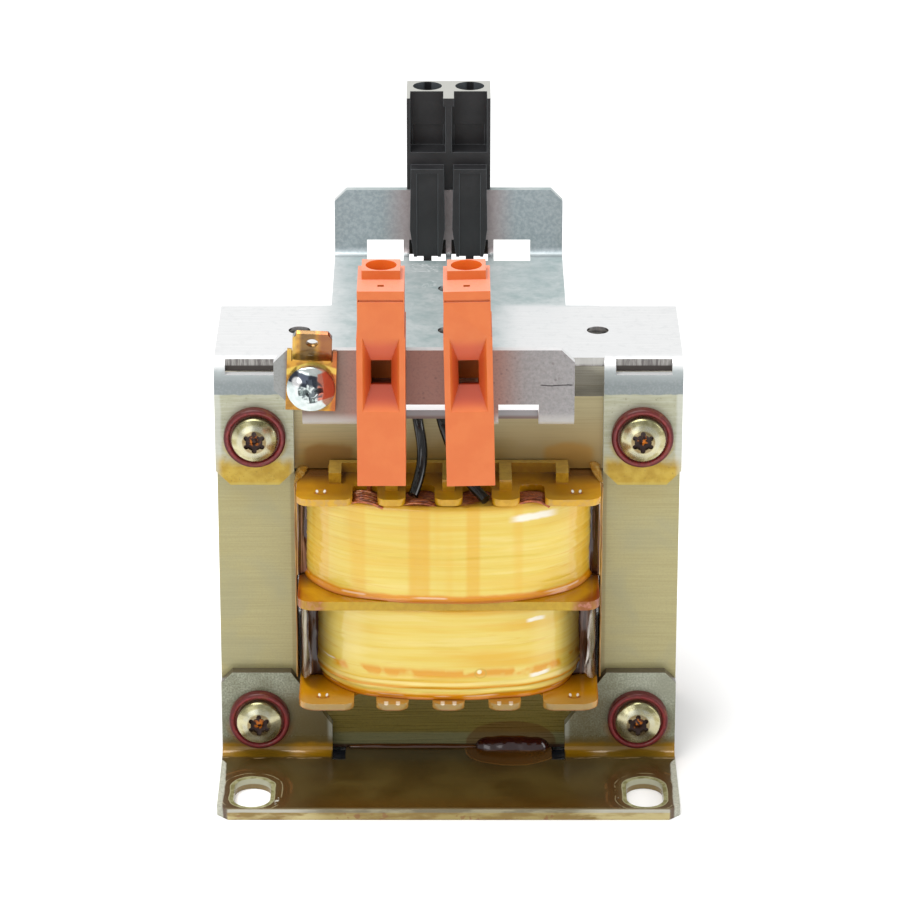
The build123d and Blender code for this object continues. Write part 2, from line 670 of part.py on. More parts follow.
def snap_leg(x):
    """The leg behind the rail: a ribbed tongue that narrows to a nub in the plate's window."""
    y0, y1 = inner_face + rail_play, inner_face + leg_thickness
    z_foot = plate_level + leg_foot
    outline = [(leg_width / 2, leg_top), (leg_bulge / 2, -leg_bulge_drop), (leg_tip / 2, z_foot)]
    points = [(x + a, z) for a, z in outline] + [(x - a, z) for a, z in outline[::-1]]
    leg = prism_y(points, y0, y1)
    leg += block(x - leg_width / 2, x + leg_width / 2, inner_face - 1, y1, rail_play, leg_top)
    leg -= block(x - leg_width / 2 + leg_rib, x + leg_width / 2 - leg_rib, y1 - leg_shelf, y1 + 1,
                 z_foot - 1, leg_top - 0.8)
    leg += block(x - nub_width / 2, x + nub_width / 2, y0 + 0.6, y1 - leg_shelf,
                 plate_level - plate_sheet + 0.3, z_foot + 1)
    return leg


def build_orange_housing():
    """One pole: a body that sits on the rail's edge, a boss on top, a skirt in front and a leg behind."""
    half = orange_width / 2
    step = funnel_centre + funnel_height / 2
    housing = block(-half, half, orange_front, inner_face, rail_play, step)
    housing += block(-half + upper_inset, half - upper_inset, orange_front, inner_face, step, orange_rise)
    housing += block(-half, half, orange_front, -rail_play, -orange_skirt, rail_play)
    boss_y = orange_front + boss_setback
    housing += block(-boss_width / 2, boss_width / 2, boss_y, boss_y + boss_depth, orange_rise,
                     orange_rise + boss_rise)
    inside = half - side_wall
    under = cage_bottom - cage_play - cavity_floor
    housing -= block(-inside, inside, orange_front + skirt_wall, 1, -orange_skirt - 1, under)
    housing += snap_leg(0)
    housing += block(-hook_half, hook_half, -rail_play - 0.5, inner_face + rail_play + 0.2,
                     plate_level + 1.0, plate_level + rail_window_rise - 0.2)
    housing -= funnel(orange_front, 0)
    cavity_out, cavity_in = orange_front + funnel_depth + 1.1, -0.8
    housing -= block(-entry_width / 2, entry_width / 2, orange_front + funnel_depth - 0.1, cavity_out + 0.1,
                     entry_centre - entry_height / 2, entry_centre + entry_height / 2)
    housing -= clamp_cavity(0, cavity_out, cavity_in)
    housing -= rod_z(0, orange_axis, clamp_screw_radius + cage_play, 0, clamp_seat + 1)
    housing -= rod_z(0, orange_axis, driver_radius, clamp_seat, orange_rise + boss_rise + 1)
    housing -= block(-strip_width / 2 - cage_play, strip_width / 2 + cage_play, cavity_out,
                     cavity_out + strip_thickness + 2 * cage_play, under - 1, cage_bottom)
    groove_top = orange_rise - band_height
    housing -= block(-half + 0.3, half - 0.3, orange_front - 1, orange_front + groove_depth,
                     groove_top - groove_height, groove_top)
    housing -= block(-0.5, 0.5, orange_front + 2.2, orange_front + 3.1, orange_rise - 1.5, orange_rise + 1)
    return housing


def build_black_housing():
    """Two poles side by side: stepped outer side, panels recessed in the inner side, two snap legs."""
    half = black_width / 2
    outer = -black_reach
    housing = block(-half, half, outer, inner_face, rail_play, black_step_rise)
    housing += block(-half, half, outer + black_step, inner_face, black_step_rise, black_rise)
    housing += block(-half, half, outer, -rail_play, -black_skirt, rail_play)
    cavity_out, cavity_in = -black_screw_reach - 2.7, -black_screw_reach + 3.0
    under = cage_bottom - cage_play - cavity_floor
    for side in (-1, 1):
        x = side * window_pitch / 2
        panel_x = side * (half - 0.6 - panel_width / 2)
        housing -= block(panel_x - panel_width / 2, panel_x + panel_width / 2, inner_face - panel_depth,
                         inner_face + 1, panel_floor, black_rise + 1)
        housing -= block(panel_x - panel_width / 2 + 0.4, panel_x + panel_width / 2 - 0.4,
                         inner_face - panel_depth - 0.3, inner_face, panel_floor, panel_floor + 3.8)
        housing += snap_leg(x)
        housing += block(x - hook_half, x + hook_half, -rail_play - 0.5, inner_face + rail_play + 0.2,
                         plate_level + 1.0, plate_level + rail_window_rise - 0.2)
        housing -= funnel(outer, x)
        housing -= block(x - entry_width / 2, x + entry_width / 2,
                         outer + funnel_depth - 0.1, cavity_out + 0.1,
                         entry_centre - entry_height / 2, entry_centre + entry_height / 2)
        housing -= clamp_cavity(x, cavity_out, cavity_in)
        housing -= rod_z(x, -black_screw_reach, clamp_screw_radius + cage_play, 0, clamp_seat + 1)
        housing -= rod_z(x, -black_screw_reach, black_driver_radius, clamp_seat, black_rise + 1)
        housing -= block(x - strip_width / 2 - cage_play, x + strip_width / 2 + cage_play,
                         cavity_in - strip_thickness - 2 * cage_play, cavity_in, under - 1, cage_bottom)
        housing -= block(x - funnel_width / 2, x + funnel_width / 2, outer + skirt_wall, -rail_play - 1.6,
                         -black_skirt - 1, under)
    housing += block(-0.95, 0.95, inner_face - panel_depth, inner_face, black_rise - 1.5, black_rise)
    return housing


def clamp_set(x, axis, y_out, y_in, tail_out, tail_reach, tail_width):
    """The clamp cage, its screw and the contact strip of one pole. The tail is at the outer or inner side."""
    if tail_out:
        cage_out, cage_in = y_out + strip_thickness + 2 * cage_play, y_in - cage_play
        tail_y0, tail_y1 = y_out + cage_play, y_out + cage_play + strip_thickness
    else:
        cage_out, cage_in = y_out + cage_play, y_in - strip_thickness - 2 * cage_play
        tail_y0, tail_y1 = y_in - cage_play - strip_thickness, y_in - cage_play
    half = cage_width / 2
    z0, z1 = cage_bottom, cage_bottom + cage_height
    cage = block(x - half, x + half, cage_out, cage_in, z0, z1)
    cage -= block(x - half + cage_wall, x + half - cage_wall, cage_out - 1, cage_in + 1,
                  z0 + cage_wall, z1 - cage_top_wall)
    cage -= rod_z(x, axis, clamp_screw_radius + bolt_play, z1 - cage_top_wall - 1, z1 + 1)
    screw = rod_z(x, axis, clamp_screw_radius, clamp_tip, clamp_seat)
    screw += rod_z(x, axis, clamp_head_radius, clamp_seat, clamp_seat + clamp_head_height)
    screw -= block(x - clamp_head_radius - 1, x + clamp_head_radius + 1,
                   axis - clamp_slot / 2, axis + clamp_slot / 2,
                   clamp_seat + clamp_head_height / 2, clamp_seat + clamp_head_height + 1)
    bar_z = z0 + cage_wall + cage_play / 2
    w = strip_width / 2
    contact = block(x - w, x + w, min(cage_out, tail_y0), max(cage_in, tail_y1),
                    bar_z, bar_z + strip_thickness)
    contact += block(x - tail_width / 2, x + tail_width / 2, tail_y0, tail_y1,
                     -tail_reach, bar_z + strip_thickness)
    return cage, screw, contact


def build_earth_tab():
    """A flat base with a push-on blade bent forward out of its top edge, between two shoulders."""
    half = earth_width / 2
    root = earth_floor + earth_height - blade_root
    base = block(-half, half, -earth_sheet, 0, earth_floor, earth_floor + earth_height)
    base -= block(-blade_width / 2 - blade_slit, blade_width / 2 + blade_slit, -earth_sheet - 1, 1,
                  root, earth_floor + earth_height + 1)
    base -= rod_y(0, earth_screw_rise, bolt_radius + bolt_play, -earth_sheet - 1, 1)
    tilt = math.radians(blade_tilt)
    cy, outside = -earth_sheet - blade_bend, blade_bend + earth_sheet

    def at(radius, angle, run=0.0):
        return Vector(-blade_width / 2, cy + radius * math.cos(angle) - run * math.sin(tilt),
                      root + radius * math.sin(angle) + run * math.cos(tilt))

    edges = [Edge.make_three_point_arc(at(blade_bend, 0), at(blade_bend, tilt / 2), at(blade_bend, tilt)),
             Edge.make_line(at(blade_bend, tilt), at(blade_bend, tilt, blade_length)),
             Edge.make_line(at(blade_bend, tilt, blade_length), at(outside, tilt, blade_length)),
             Edge.make_line(at(outside, tilt, blade_length), at(outside, tilt)),
             Edge.make_three_point_arc(at(outside, tilt), at(outside, tilt / 2), at(outside, 0)),
             Edge.make_line(at(outside, 0), at(blade_bend, 0))]
    blade = extrude(make_face(edges), amount=blade_width, dir=(1, 0, 0))
    foot_of_blade = Vector(0, cy, root)
    foot_of_blade += Vector(0, math.cos(tilt), math.sin(tilt)) * (blade_bend + earth_sheet / 2)
    flat = Plane(origin=foot_of_blade, x_dir=(1, 0, 0), z_dir=(0, -math.cos(tilt), -math.sin(tilt)))
    up, through = blade_length, 7.5 * earth_sheet
    blade -= flat * Pos(0, up - blade_hole_reach, 0) * Cylinder(blade_hole, through)
    for side in (-1, 1):
        nib = make_face(Polyline((side * blade_width / 2, up - blade_corner_length, -through / 2),
                                 (side * (blade_width / 2 - blade_corner), up, -through / 2),
                                 (side * (blade_width / 2 + 1), up + 1, -through / 2), close=True))
        blade -= flat * extrude(nib, amount=through, dir=(0, 0, 1))
    about_screw = Pos(0, 0, earth_screw_rise) * Rot(0, earth_lean, 0) * Pos(0, 0, -earth_screw_rise)
    return Pos(earth_x, -rail_reach, plate_top) * about_screw * (base + blade)


def build_earth_fixings():
    """The cross-recess screw, and behind the rail a toothed lock washer and a nut."""
    z = plate_top + earth_screw_rise
    screw = pan_head() + Pos(0, 0, -earth_screw_length / 2) * Cylinder(bolt_radius, earth_screw_length)
    for angle in (0, 90):
        wing = Box(cross_length, cross_width, 2 * recess_depth)
        screw -= Pos(0, 0, head_height) * Rot(0, 0, angle) * wing
    screw -= Pos(0, 0, head_height) * Rot(0, 0, 45) * Box(cross_heart, cross_heart, 1.6 * recess_depth)
    screw = Pos(earth_x, -rail_reach - earth_sheet, z) * Rot(90, 0, 0) * Rot(0, 0, earth_screw_turn) * screw
    through = 8 * lock_washer_thickness
    washer = Cylinder(lock_washer_radius, lock_washer_thickness)
    washer -= Cylinder(bolt_radius + bolt_play, through)
    for spot in PolarLocations(lock_washer_radius, lock_washer_teeth):
        washer -= spot * Box(lock_washer_gap_depth, lock_washer_gap, through)
    behind = -rail_reach + plate_sheet
    washer = Pos(earth_x, behind + lock_washer_thickness / 2, z) * Rot(-90, 0, 0) * washer
    nut = hexagon_nut(bolt_radius + bolt_play)
    nut = Pos(earth_x, behind + lock_washer_thickness, z) * Rot(-90, 0, 0) * nut
    return screw, washer, nut


def points_between(start, end, rows, radius):
    """The points of the rows between start and end, then end."""
    points = []
    for along, fall, sway in rows:
        points.append((start[0] + (end[0] - start[0]) * along + sway * radius,
                       start[1] + (end[1] - start[1]) * along, start[2] + (end[2] - start[2]) * fall))
    return points + [end]


def lead_route(points, radius):
    """A round lead along straight runs and tangent arcs, each arc as large as its two runs allow."""
    places = [Vector(*p) for p in points]
    radii = []
    for a, b, c in zip(places, places[1:], places[2:]):
        turn = math.radians((b - a).get_angle(c - b))
        radii.append(0.45 * min((b - a).length, (c - b).length) / math.tan(turn / 2))
    path = FilletPolyline(*places, radius=radii)
    start = Plane(origin=places[0], z_dir=places[1] - places[0])
    lead = sweep(start * Circle(radius), path=path)
    section = math.pi * radius ** 2
    print("lead length", round(path.length, 1), "smallest radius", round(min(radii), 2),
          "volume ratio", round(lead.volume / (section * path.length), 4))
    return lead


# Positions of the terminals on the two rails
front_rail = Pos(0, -rail_reach, rail_top)
rear_rail = Rot(0, 0, 180) * Pos(0, -flange_reach, rail_top)
orange_places = {
    "left": front_rail * Pos(-1.5 * window_pitch + orange_shift, 0, 0),
    "right": front_rail * Pos(0.5 * window_pitch - orange_shift, 0, 0) * Rot(0, orange_lean, 0),
}
orange_cavity = (orange_front + funnel_depth + 1.1, -0.8)
black_cavity = (-black_screw_reach - 2.7, -black_screw_reach + 3.0)
orange_tail_face = -rail_reach + orange_cavity[0] + cage_play + strip_thickness + lead_play
orange_tail_z = rail_top - orange_tail
black_tail_face = flange_reach - black_cavity[1] + cage_play - lead_play
lead_level = rail_top - black_tail + lead_radius

# Core
e_laminations, i_laminations = build_core()
save(e_laminations, "e_laminations")
save(i_laminations, "i_laminations")

# Brackets
foot = build_foot()
save(foot, "front_foot_bracket")
save(turned(foot), "rear_foot_bracket")
save(build_top_bracket(), "top_bracket")

# Core bolts and what they pass through
bolts, sleeves, front_washers, rear_washers, nuts = build_bolting()
save(Compound(children=bolts), "core_bolts")
save(Compound(children=sleeves), "insulating_sleeves")
save(Compound(children=front_washers), "front_insulating_washers")
save(Compound(children=rear_washers), "rear_insulating_washers")
save(Compound(children=nuts), "core_bolt_nuts")

# Bobbin and windings
save(build_bobbin(), "bobbin")
chamber = divider_thickness / 2
upper_copper, upper_tape = build_coil(upper_coil_half_x, upper_coil_half_y,
                                      upper_coil_crown, upper_coil_corner,
                                      divider_z + chamber, bobbin_top - flange_thickness)
lower_copper, lower_tape = build_coil(lower_coil_half_x, lower_coil_half_y,
                                      lower_coil_crown, lower_coil_corner,
                                      bobbin_bottom + flange_thickness, divider_z - chamber)
save(upper_copper, "upper_winding")
save(upper_tape, "upper_tape_wrap")
save(lower_copper, "lower_winding")
save(lower_tape, "lower_tape_wrap")
save(Compound(children=leg_films()), "leg_insulation_films")
save(Compound(children=side_films()), "winding_side_films")

# Orange terminals
orange = build_orange_housing()
for name, place in orange_places.items():
    cage, screw, contact = clamp_set(0, orange_axis, *orange_cavity, True, orange_tail, strip_width)
    save(place * orange, "orange_terminal_housing_" + name)
    save(place * cage, "orange_clamp_cage_" + name)
    save(place * screw, "orange_clamp_screw_" + name)
    save(place * contact, "orange_contact_strip_" + name)

# Black terminal
save(rear_rail * build_black_housing(), "black_terminal_housing")
for name, side in (("left", 1), ("right", -1)):
    cage, screw, contact = clamp_set(side * window_pitch / 2, -black_screw_reach, *black_cavity, False,
                                     black_tail, black_tail_width)
    save(rear_rail * cage, "black_clamp_cage_" + name)
    save(rear_rail * screw, "black_clamp_screw_" + name)
    save(rear_rail * contact, "black_contact_strip_" + name)

# Earth connection
earth_screw, earth_lock_washer, earth_nut = build_earth_fixings()
save(build_earth_tab(), "earth_tab")
save(earth_screw, "earth_screw")
save(earth_lock_washer, "earth_lock_washer")
save(earth_nut, "earth_nut")

# Black leads from the upper winding, over the core and under the plate, to the black terminal's tails
winding_top = bobbin_top - flange_thickness - coil_play
for name, side in (("left", -1), ("right", 1)):
    tail = (side * window_pitch / 2, black_tail_face, lead_level)
    edge = (black_lead_edges[name], -core_face - lead_turn, lead_level - lead_sag)
    end = (*black_lead_ends[name], winding_top + lead_drop)
    points = [tail] + points_between(tail, edge, over_core[name], lead_radius)
    points += points_between(edge, end, down_front[name], lead_radius)
    save(lead_route(points, lead_radius), "black_lead_" + name)

# Copper leads from the upper winding up to the orange terminals' tails
for name, tail_x in (("left", -1.5 * window_pitch + orange_shift),
                     ("right", 0.5 * window_pitch - orange_shift)):
    tail_x += copper_tail_shift[name]
    tail = (tail_x, orange_tail_face, orange_tail_z + copper_lead_radius + 0.2)
    end = (tail_x + copper_lead_shift[name], -copper_lead_reach, winding_top + copper_lead_radius)
    points = [tail] + points_between(tail, end, behind_block[name], copper_lead_radius)
    save(lead_route(points, copper_lead_radius), "copper_lead_" + name)
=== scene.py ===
"""Control transformer: camera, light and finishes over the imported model, in metres, +Z up, front towards
-Y."""
import math

import bmesh
import bpy
import numpy as np
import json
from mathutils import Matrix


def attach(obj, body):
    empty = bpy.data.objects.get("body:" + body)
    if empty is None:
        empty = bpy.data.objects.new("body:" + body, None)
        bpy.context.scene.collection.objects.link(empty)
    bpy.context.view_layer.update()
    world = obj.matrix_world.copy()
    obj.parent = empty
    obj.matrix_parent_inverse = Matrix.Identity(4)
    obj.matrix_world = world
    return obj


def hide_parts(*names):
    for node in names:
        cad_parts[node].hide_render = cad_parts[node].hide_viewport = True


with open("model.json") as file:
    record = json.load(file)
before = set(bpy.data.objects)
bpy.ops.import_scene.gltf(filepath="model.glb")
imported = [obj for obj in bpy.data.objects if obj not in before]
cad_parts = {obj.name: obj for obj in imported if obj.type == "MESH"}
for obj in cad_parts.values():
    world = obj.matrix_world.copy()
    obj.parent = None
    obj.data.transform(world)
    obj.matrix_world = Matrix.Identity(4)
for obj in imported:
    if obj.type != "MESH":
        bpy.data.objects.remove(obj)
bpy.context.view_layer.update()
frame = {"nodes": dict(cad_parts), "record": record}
nodes = frame["nodes"]
MM = 0.001

# Places that the looks share with the solids, in millimetres
CORE_FACE = 13.0
BOLT_X, LOW_BOLT, HIGH_BOLT = 32.5, 8.5, 60.5
LOW_HEAD, HIGH_HEAD = -18.5, -18.0          # the front heads' tops
LUG_TOP = 53.8
UPPER_COIL = {"half_x": 24.8, "half_y": 27.2, "crown": 6.0, "corner": 15.5, "low": 35.3, "high": 52.6}
LOWER_COIL = {"half_x": 23.2, "half_y": 25.8, "crown": 5.0, "corner": 14.5, "low": 16.4, "high": 33.7}
COIL_CROWN_X = 0.4                          # how far a winding's side bulges
CORNERS = ((-1, -1), (-1, 1), (1, -1), (1, 1))          # side and end
EARTH_X, EARTH_Z = -22.0, 80.2              # the earth screw's axis
SLOT_X, SLOT_Y = 33.2, 30.8                 # the foot slots' centres
FRONT_POOL_X = 10.8                         # where varnish has dripped in front
SHEET, THREAD_PITCH = 0.5, 0.7              # one lamination's thickness, and the core bolts' pitch


# Camera, light and floor
def make_camera():
    """The photograph's own view: a long lens, 22 degrees above the horizontal."""
    data = bpy.data.cameras.new("camera")
    data.sensor_width = 36.0
    data.lens = 173.02
    data.shift_x = 1 / 900
    data.clip_start, data.clip_end = 0.05, 20.0
    camera = bpy.data.objects.new("camera", data)
    camera.location = (0.07 * MM, -688.6 * MM, 328.7 * MM)
    camera.rotation_euler = (math.radians(68.115), 0, 0)
    bpy.context.scene.collection.objects.link(camera)
    bpy.context.scene.camera = camera


def area_light(name, place, size, power):
    """A soft box at place that faces the middle of the object."""
    data = bpy.data.lights.new(name, "AREA")
    data.shape = "RECTANGLE"
    data.size, data.size_y = size
    data.energy = power
    light = bpy.data.objects.new(name, data)
    light.location = place
    middle_height = 0.05
    x, y, z = place[0], place[1], place[2] - middle_height
    light.rotation_euler = (math.atan2(math.hypot(x, y), z), 0, math.atan2(x, -y))
    bpy.context.scene.collection.objects.link(light)


def make_stage():
    """A pale floor that runs past the view on every side, under a pale sky."""
    reach = 9.0
    x, y = np.meshgrid([-reach, reach], [-reach, reach])
    floor = new_piece("floor", grid_mesh("floor", [np.stack([x, y, np.zeros_like(x)], -1)]))
    floor.data.materials.append(Finish("pale_floor").finish((0.92, 0.92, 0.92, 1), 0.7))
    world = bpy.data.worlds.new("studio")
    world.use_nodes = True
    sky = world.node_tree.nodes["Background"].inputs
    sky["Color"].default_value = (1, 1, 1, 1)
    sky["Strength"].default_value = 0.72
    bpy.context.scene.world = world
    area_light("ceiling", (-0.15, -0.1, 0.75), (0.6, 0.5), 6.4)
    area_light("front", (-0.35, -0.75, 0.35), (0.45, 0.45), 1.4)
    area_light("side", (0.7, -0.25, 0.35), (0.3, 0.5), 1.7)
    bpy.context.scene.view_settings.view_transform = "Standard"


# Meshes worked out with numpy
def grid_mesh(name, grids, close_u=False, close_v=False):
    """A mesh over grids of points, each of shape (rows, columns, 3), in metres. Each cell is one quad, and a
    grid joins up with its first row or column where it closes."""
    points, quads, start = [], [], 0
    for grid in grids:
        rows, columns = grid.shape[:2]
        index = start + np.arange(rows * columns).reshape(rows, columns)
        a = index if close_u else index[:-1]
        b = np.roll(index, -1, 0) if close_u else index[1:]
        if close_v:
            cells = np.stack([a, b, np.roll(b, -1, 1), np.roll(a, -1, 1)], -1)
        else:
            cells = np.stack([a[:, :-1], b[:, :-1], b[:, 1:], a[:, 1:]], -1)
        points.append(grid.reshape(-1, 3))
        quads.append(cells.reshape(-1, 4))
        start += rows * columns
    mesh = bpy.data.meshes.new(name)
    mesh.from_pydata(np.concatenate(points).tolist(), [], np.concatenate(quads).tolist())
    mesh.shade_smooth()
    return mesh


def new_piece(name, mesh):
    piece = bpy.data.objects.new(name, mesh)
    bpy.context.scene.collection.objects.link(piece)
    return piece


def spread(first, second):
    """Two arrays over one grid, the first along its rows and the second along its columns, from (low, high,
    steps) each."""
    return np.meshgrid(np.linspace(*first), np.linspace(*second), indexing="ij")


def mount_piece(piece, slot, *replaced):
    """Rides the piece on the object, gives it its slot's material, and hides the nodes that it stands for."""
    piece.data.materials.clear()
    piece.data.materials.append(LOOKS[slot])
    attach(piece, "root")
    if replaced:
        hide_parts(*replaced)
    return piece


def eased(node, width, slot):
    """A copy of a CAD piece with its edges rounded by width, in millimetres: the copy's loose triangles are
    joined and its flat faces made whole, and then a bevel is laid on every sharp edge."""
    mesh = nodes[node].data.copy()
    shape = bmesh.new()
    shape.from_mesh(mesh)
    bmesh.ops.remove_doubles(shape, verts=shape.verts, dist=2e-6)
    bmesh.ops.dissolve_limit(shape, angle_limit=math.radians(0.6), verts=shape.verts, edges=shape.edges)
    for face in shape.faces:
        face.smooth = True
    shape.to_mesh(mesh)
    shape.free()
    piece = new_piece(node + "_eased", mesh)
    bevel = piece.modifiers.new("rounded edges", "BEVEL")
    bevel.width, bevel.segments = width * MM, 2
    bevel.limit_method, bevel.angle_limit = "ANGLE", math.radians(32)
    bevel.harden_normals = True
    level = piece.modifiers.new("flat faces stay flat", "WEIGHTED_NORMAL")
    level.weight, level.keep_sharp = 80, True
    return mount_piece(piece, slot, node)


def ring(coil, steps):
    """Points evenly spaced round a winding's outline, and their outward normals. With the normal's angle a,
    the outline's first quarter is the side's arc, then the corner's arc, then the front's arc, each its
    centre plus its radius times (cos a, sin a). The corner's centre lies where the other two arcs, drawn in
    by the corner's radius, cross."""
    half_x, half_y, crown, corner = (coil[k] for k in ("half_x", "half_y", "crown", "corner"))
    side_radius = ((half_y - crown) ** 2 + COIL_CROWN_X ** 2) / (2 * COIL_CROWN_X)
    front_radius = ((half_x - COIL_CROWN_X) ** 2 + crown ** 2) / (2 * crown)
    side, front = np.array([half_x - side_radius, 0.0]), np.array([0.0, half_y - front_radius])
    centre = np.array([half_x - corner, half_y - crown - corner])
    for _ in range(30):
        for middle, reach in ((side, side_radius - corner), (front, front_radius - corner)):
            away = centre - middle
            centre = middle + away * reach / np.linalg.norm(away)
    turn_1 = math.atan2(*(centre - side)[::-1])
    turn_2 = math.atan2(*(centre - front)[::-1])
    angles = np.linspace(0, np.pi / 2, 400)[:, None]
    heading = np.concatenate([np.cos(angles), np.sin(angles)], 1)
    quarter = np.where(angles < turn_1, side + side_radius * heading,
                       np.where(angles < turn_2, centre + corner * heading, front + front_radius * heading))
    whole = np.concatenate([quarter, (quarter * [-1, 1])[-2::-1], (quarter * [-1, -1])[1:],
                            (quarter * [1, -1])[-2::-1]])
    bearing = np.concatenate([angles, (np.pi - angles)[-2::-1], (np.pi + angles)[1:],
                              (2 * np.pi - angles)[-2::-1]])[:, 0]
    reach = np.concatenate([[0], np.cumsum(np.linalg.norm(np.diff(whole, axis=0), axis=1))])
    even = np.linspace(0, reach[-1], steps, endpoint=False)
    points = np.stack([np.interp(even, reach, whole[:, 0]), np.interp(even, reach, whole[:, 1])], -1)
    bearing = np.interp(even, reach, bearing)
    return points, np.stack([np.cos(bearing), np.sin(bearing)], -1)


def loop_surface(name, outline, normals, offset, height):
    """A closed band: each point of the outline is moved along its normal by offset, and up to height. offset
    and height are (steps round, steps across) arrays in millimetres."""
    flat = outline[:, None, :] + normals[:, None, :] * offset[:, :, None]
    points = np.concatenate([flat, height[:, :, None]], -1) * MM
    return grid_mesh(name, [points], close_u=True, close_v=True)


def smooth_noise(u, v, waves, seed):
    """A sum of slanted sine waves, about one in size. waves lists (across u, across v) counts."""
    chance = np.random.default_rng(seed)
    total = 0.0 * (u + v)
    for count_u, count_v in waves:
        total += np.sin(2 * np.pi * (count_u * u + count_v * v) + chance.uniform(0, 2 * np.pi))
    return total / math.sqrt(len(waves))


def tape_wrap(name, coil, seed, ridges, taper):
    """Layers of tape round a winding. The profile goes up the outside, inwards over the winding's top, down
    the inside and back under it. Shallow creases run round the coil: each is a narrow dip whose height
    wanders slowly along the tape. ridges lists (height above the lower edge, how far it stands out, half
    width), taper is how far the lowest 3 mm draw in, and a bead of varnish swells out where the tape meets
    the flange."""
    steps, across = 720, 128
    outside_end, lip_end, fold = 0.70, 0.85, 0.15          # shares of the profile
    outline, normals = ring(coil, steps)
    low, high = coil["low"] + 0.04, coil["high"] - 0.10
    t = np.linspace(0, 1, across, endpoint=False)[None, :]
    u = np.linspace(0, 1, steps, endpoint=False)[:, None]
    rise = np.clip(t / outside_end, 0, 1)
    lip = np.clip((t - outside_end) / fold, 0, 1)
    back = np.clip((t - lip_end) / fold, 0, 1)
    height = low + (high - low) * (rise - back)
    edge = (1 - rise) * (high - low)
    rounded = -0.45 * np.clip(1 - edge / 0.8, 0, 1) ** 2
    drawn_in = -taper * np.clip(1 - (height - low) / 3.2, 0, 1) ** 1.6
    chance = np.random.default_rng(seed)
    creases = np.zeros((steps, across))
    for _ in range(26):
        middle = chance.uniform(0.05, 0.95)
        middle = middle + 0.02 * smooth_noise(u, 0, [(3, 0), (7, 0)], chance.integers(999))
        span = np.cos(2 * np.pi * (u - chance.uniform())) ** 2
        strength = chance.uniform(0.02, 0.08) * np.clip(span - chance.uniform(0.0, 0.6), 0, 1)
        width = chance.uniform(0.012, 0.035)
        creases -= strength * np.exp(-((rise - middle) / width) ** 2)
    for middle, proud, half_width in ridges:
        wander = 0.35 * smooth_noise(u, 0, [(2, 0), (5, 0), (9, 0)], int(middle * 100) + seed)
        creases += proud * (1 + 0.3 * smooth_noise(u, 0, [(4, 0), (11, 0)], seed + 7)) \
            * np.exp(-((height - low - middle - wander) / half_width) ** 2)
    bulge = 0.10 * smooth_noise(u, rise, [(4, 0.6), (7, -0.8), (11, 1.2), (17, 0.5)], seed + 1)
    bead = (0.42 + 0.08 * smooth_noise(u, 0, [(6, 0), (13, 0)], seed + 3)) \
        * np.clip(1 - (height - low) / 0.9, 0, 1) ** 2
    outside = np.minimum(rounded + creases + bulge - 0.22, 0.0) + drawn_in + bead
    dip = 0.12 * smooth_noise(u, lip, [(9, 0.5), (14, -0.4)], seed + 5) * lip - 0.1 * lip
    inside = -0.67 - (3.4 + 0.5 * smooth_noise(u, 0, [(5, 0), (8, 0)], seed)) * lip
    offset, height = np.where(t < outside_end, outside, inside), height + np.where(t < outside_end, 0, dip)
    return new_piece(name, loop_surface(name, outline, normals, offset, height))


def wound_coil(name, coil, wire, inset):
    """A winding whose top and bottom show the turns: the profile steps from turn to turn, a half circle
    each."""
    inner, per_turn, steps = 14.72, 8, 360
    turns = int((coil["half_x"] - inset - inner) / wire)
    across = np.linspace(0, turns, turns * per_turn, endpoint=False)
    bump = wire / 2 * np.sqrt(np.clip(1 - (2 * (across % 1) - 1) ** 2, 0, 1))
    inwards = -inset - (turns - across) * wire
    low, high = coil["low"] + 0.12, coil["high"] - 0.12
    top = np.stack([inwards, high - wire / 2 + bump], -1)
    bottom = np.stack([inwards[::-1], low + wire / 2 - bump[::-1]], -1)
    profile = np.concatenate([bottom, top[:1] * [1, 0] + [[0, high - wire / 2]], top])
    outline, normals = ring(coil, steps)
    share = np.linspace(0, 1, steps, endpoint=False)[:, None]
    ripple = 0.05 * smooth_noise(share, profile[None, :, 0] / 9, [(5, 1), (9, -2), (14, 3)], 5)
    offset, height = profile[None, ::-1, 0] + 0 * share, profile[None, ::-1, 1]
    height = height + ripple * (np.abs(height - (low + high) / 2) > 2)
    return new_piece(name, loop_surface(name, outline, normals, offset, height))


def lead_curve(name, strands, radius):
    """Smooth round strands whose control points are the routes' own points, in millimetres."""
    data = bpy.data.curves.new(name, "CURVE")
    data.dimensions = "3D"
    data.bevel_depth, data.bevel_resolution = radius * MM, 5
    data.resolution_u, data.use_fill_caps = 16, True
    for points in strands:
        spline = data.splines.new("NURBS")
        spline.points.add(len(points) - 1)
        for point, place in zip(spline.points, points):
            point.co = (*(c * MM for c in place), 1)
        spline.order_u, spline.use_endpoint_u = 3, True
    return new_piece(name, data)


def thin_sheet(name, grids, thickness):
    """Sheets of film over grids of points in millimetres."""
    piece = new_piece(name, grid_mesh(name, [grid * MM for grid in grids]))
    solid = piece.modifiers.new("thickness", "SOLIDIFY")
    solid.thickness, solid.offset = thickness * MM, 0
    return piece


def leg_films():
    """The film between the bobbin and each outer leg: flat in the window, wavy and turned outwards at its
    ends."""
    grids = []
    y, z = spread((-15.2, 15.2, 60), (16.3, 52.7, 60))
    out = np.clip(np.abs(y) - 13.0, 0, None) / 2
    for side in (-1, 1):
        x = 25.72 + 0.16 * out ** 2 + 0.03 * out * np.sin(z * 0.5 + side) + 0.015 * out * np.sin(z * 1.9)
        grids.append(np.stack([side * x, y + 0.12 * np.sin(z * 0.7) * np.sign(y), z], -1))
    return thin_sheet("leg_films", grids, 0.2)


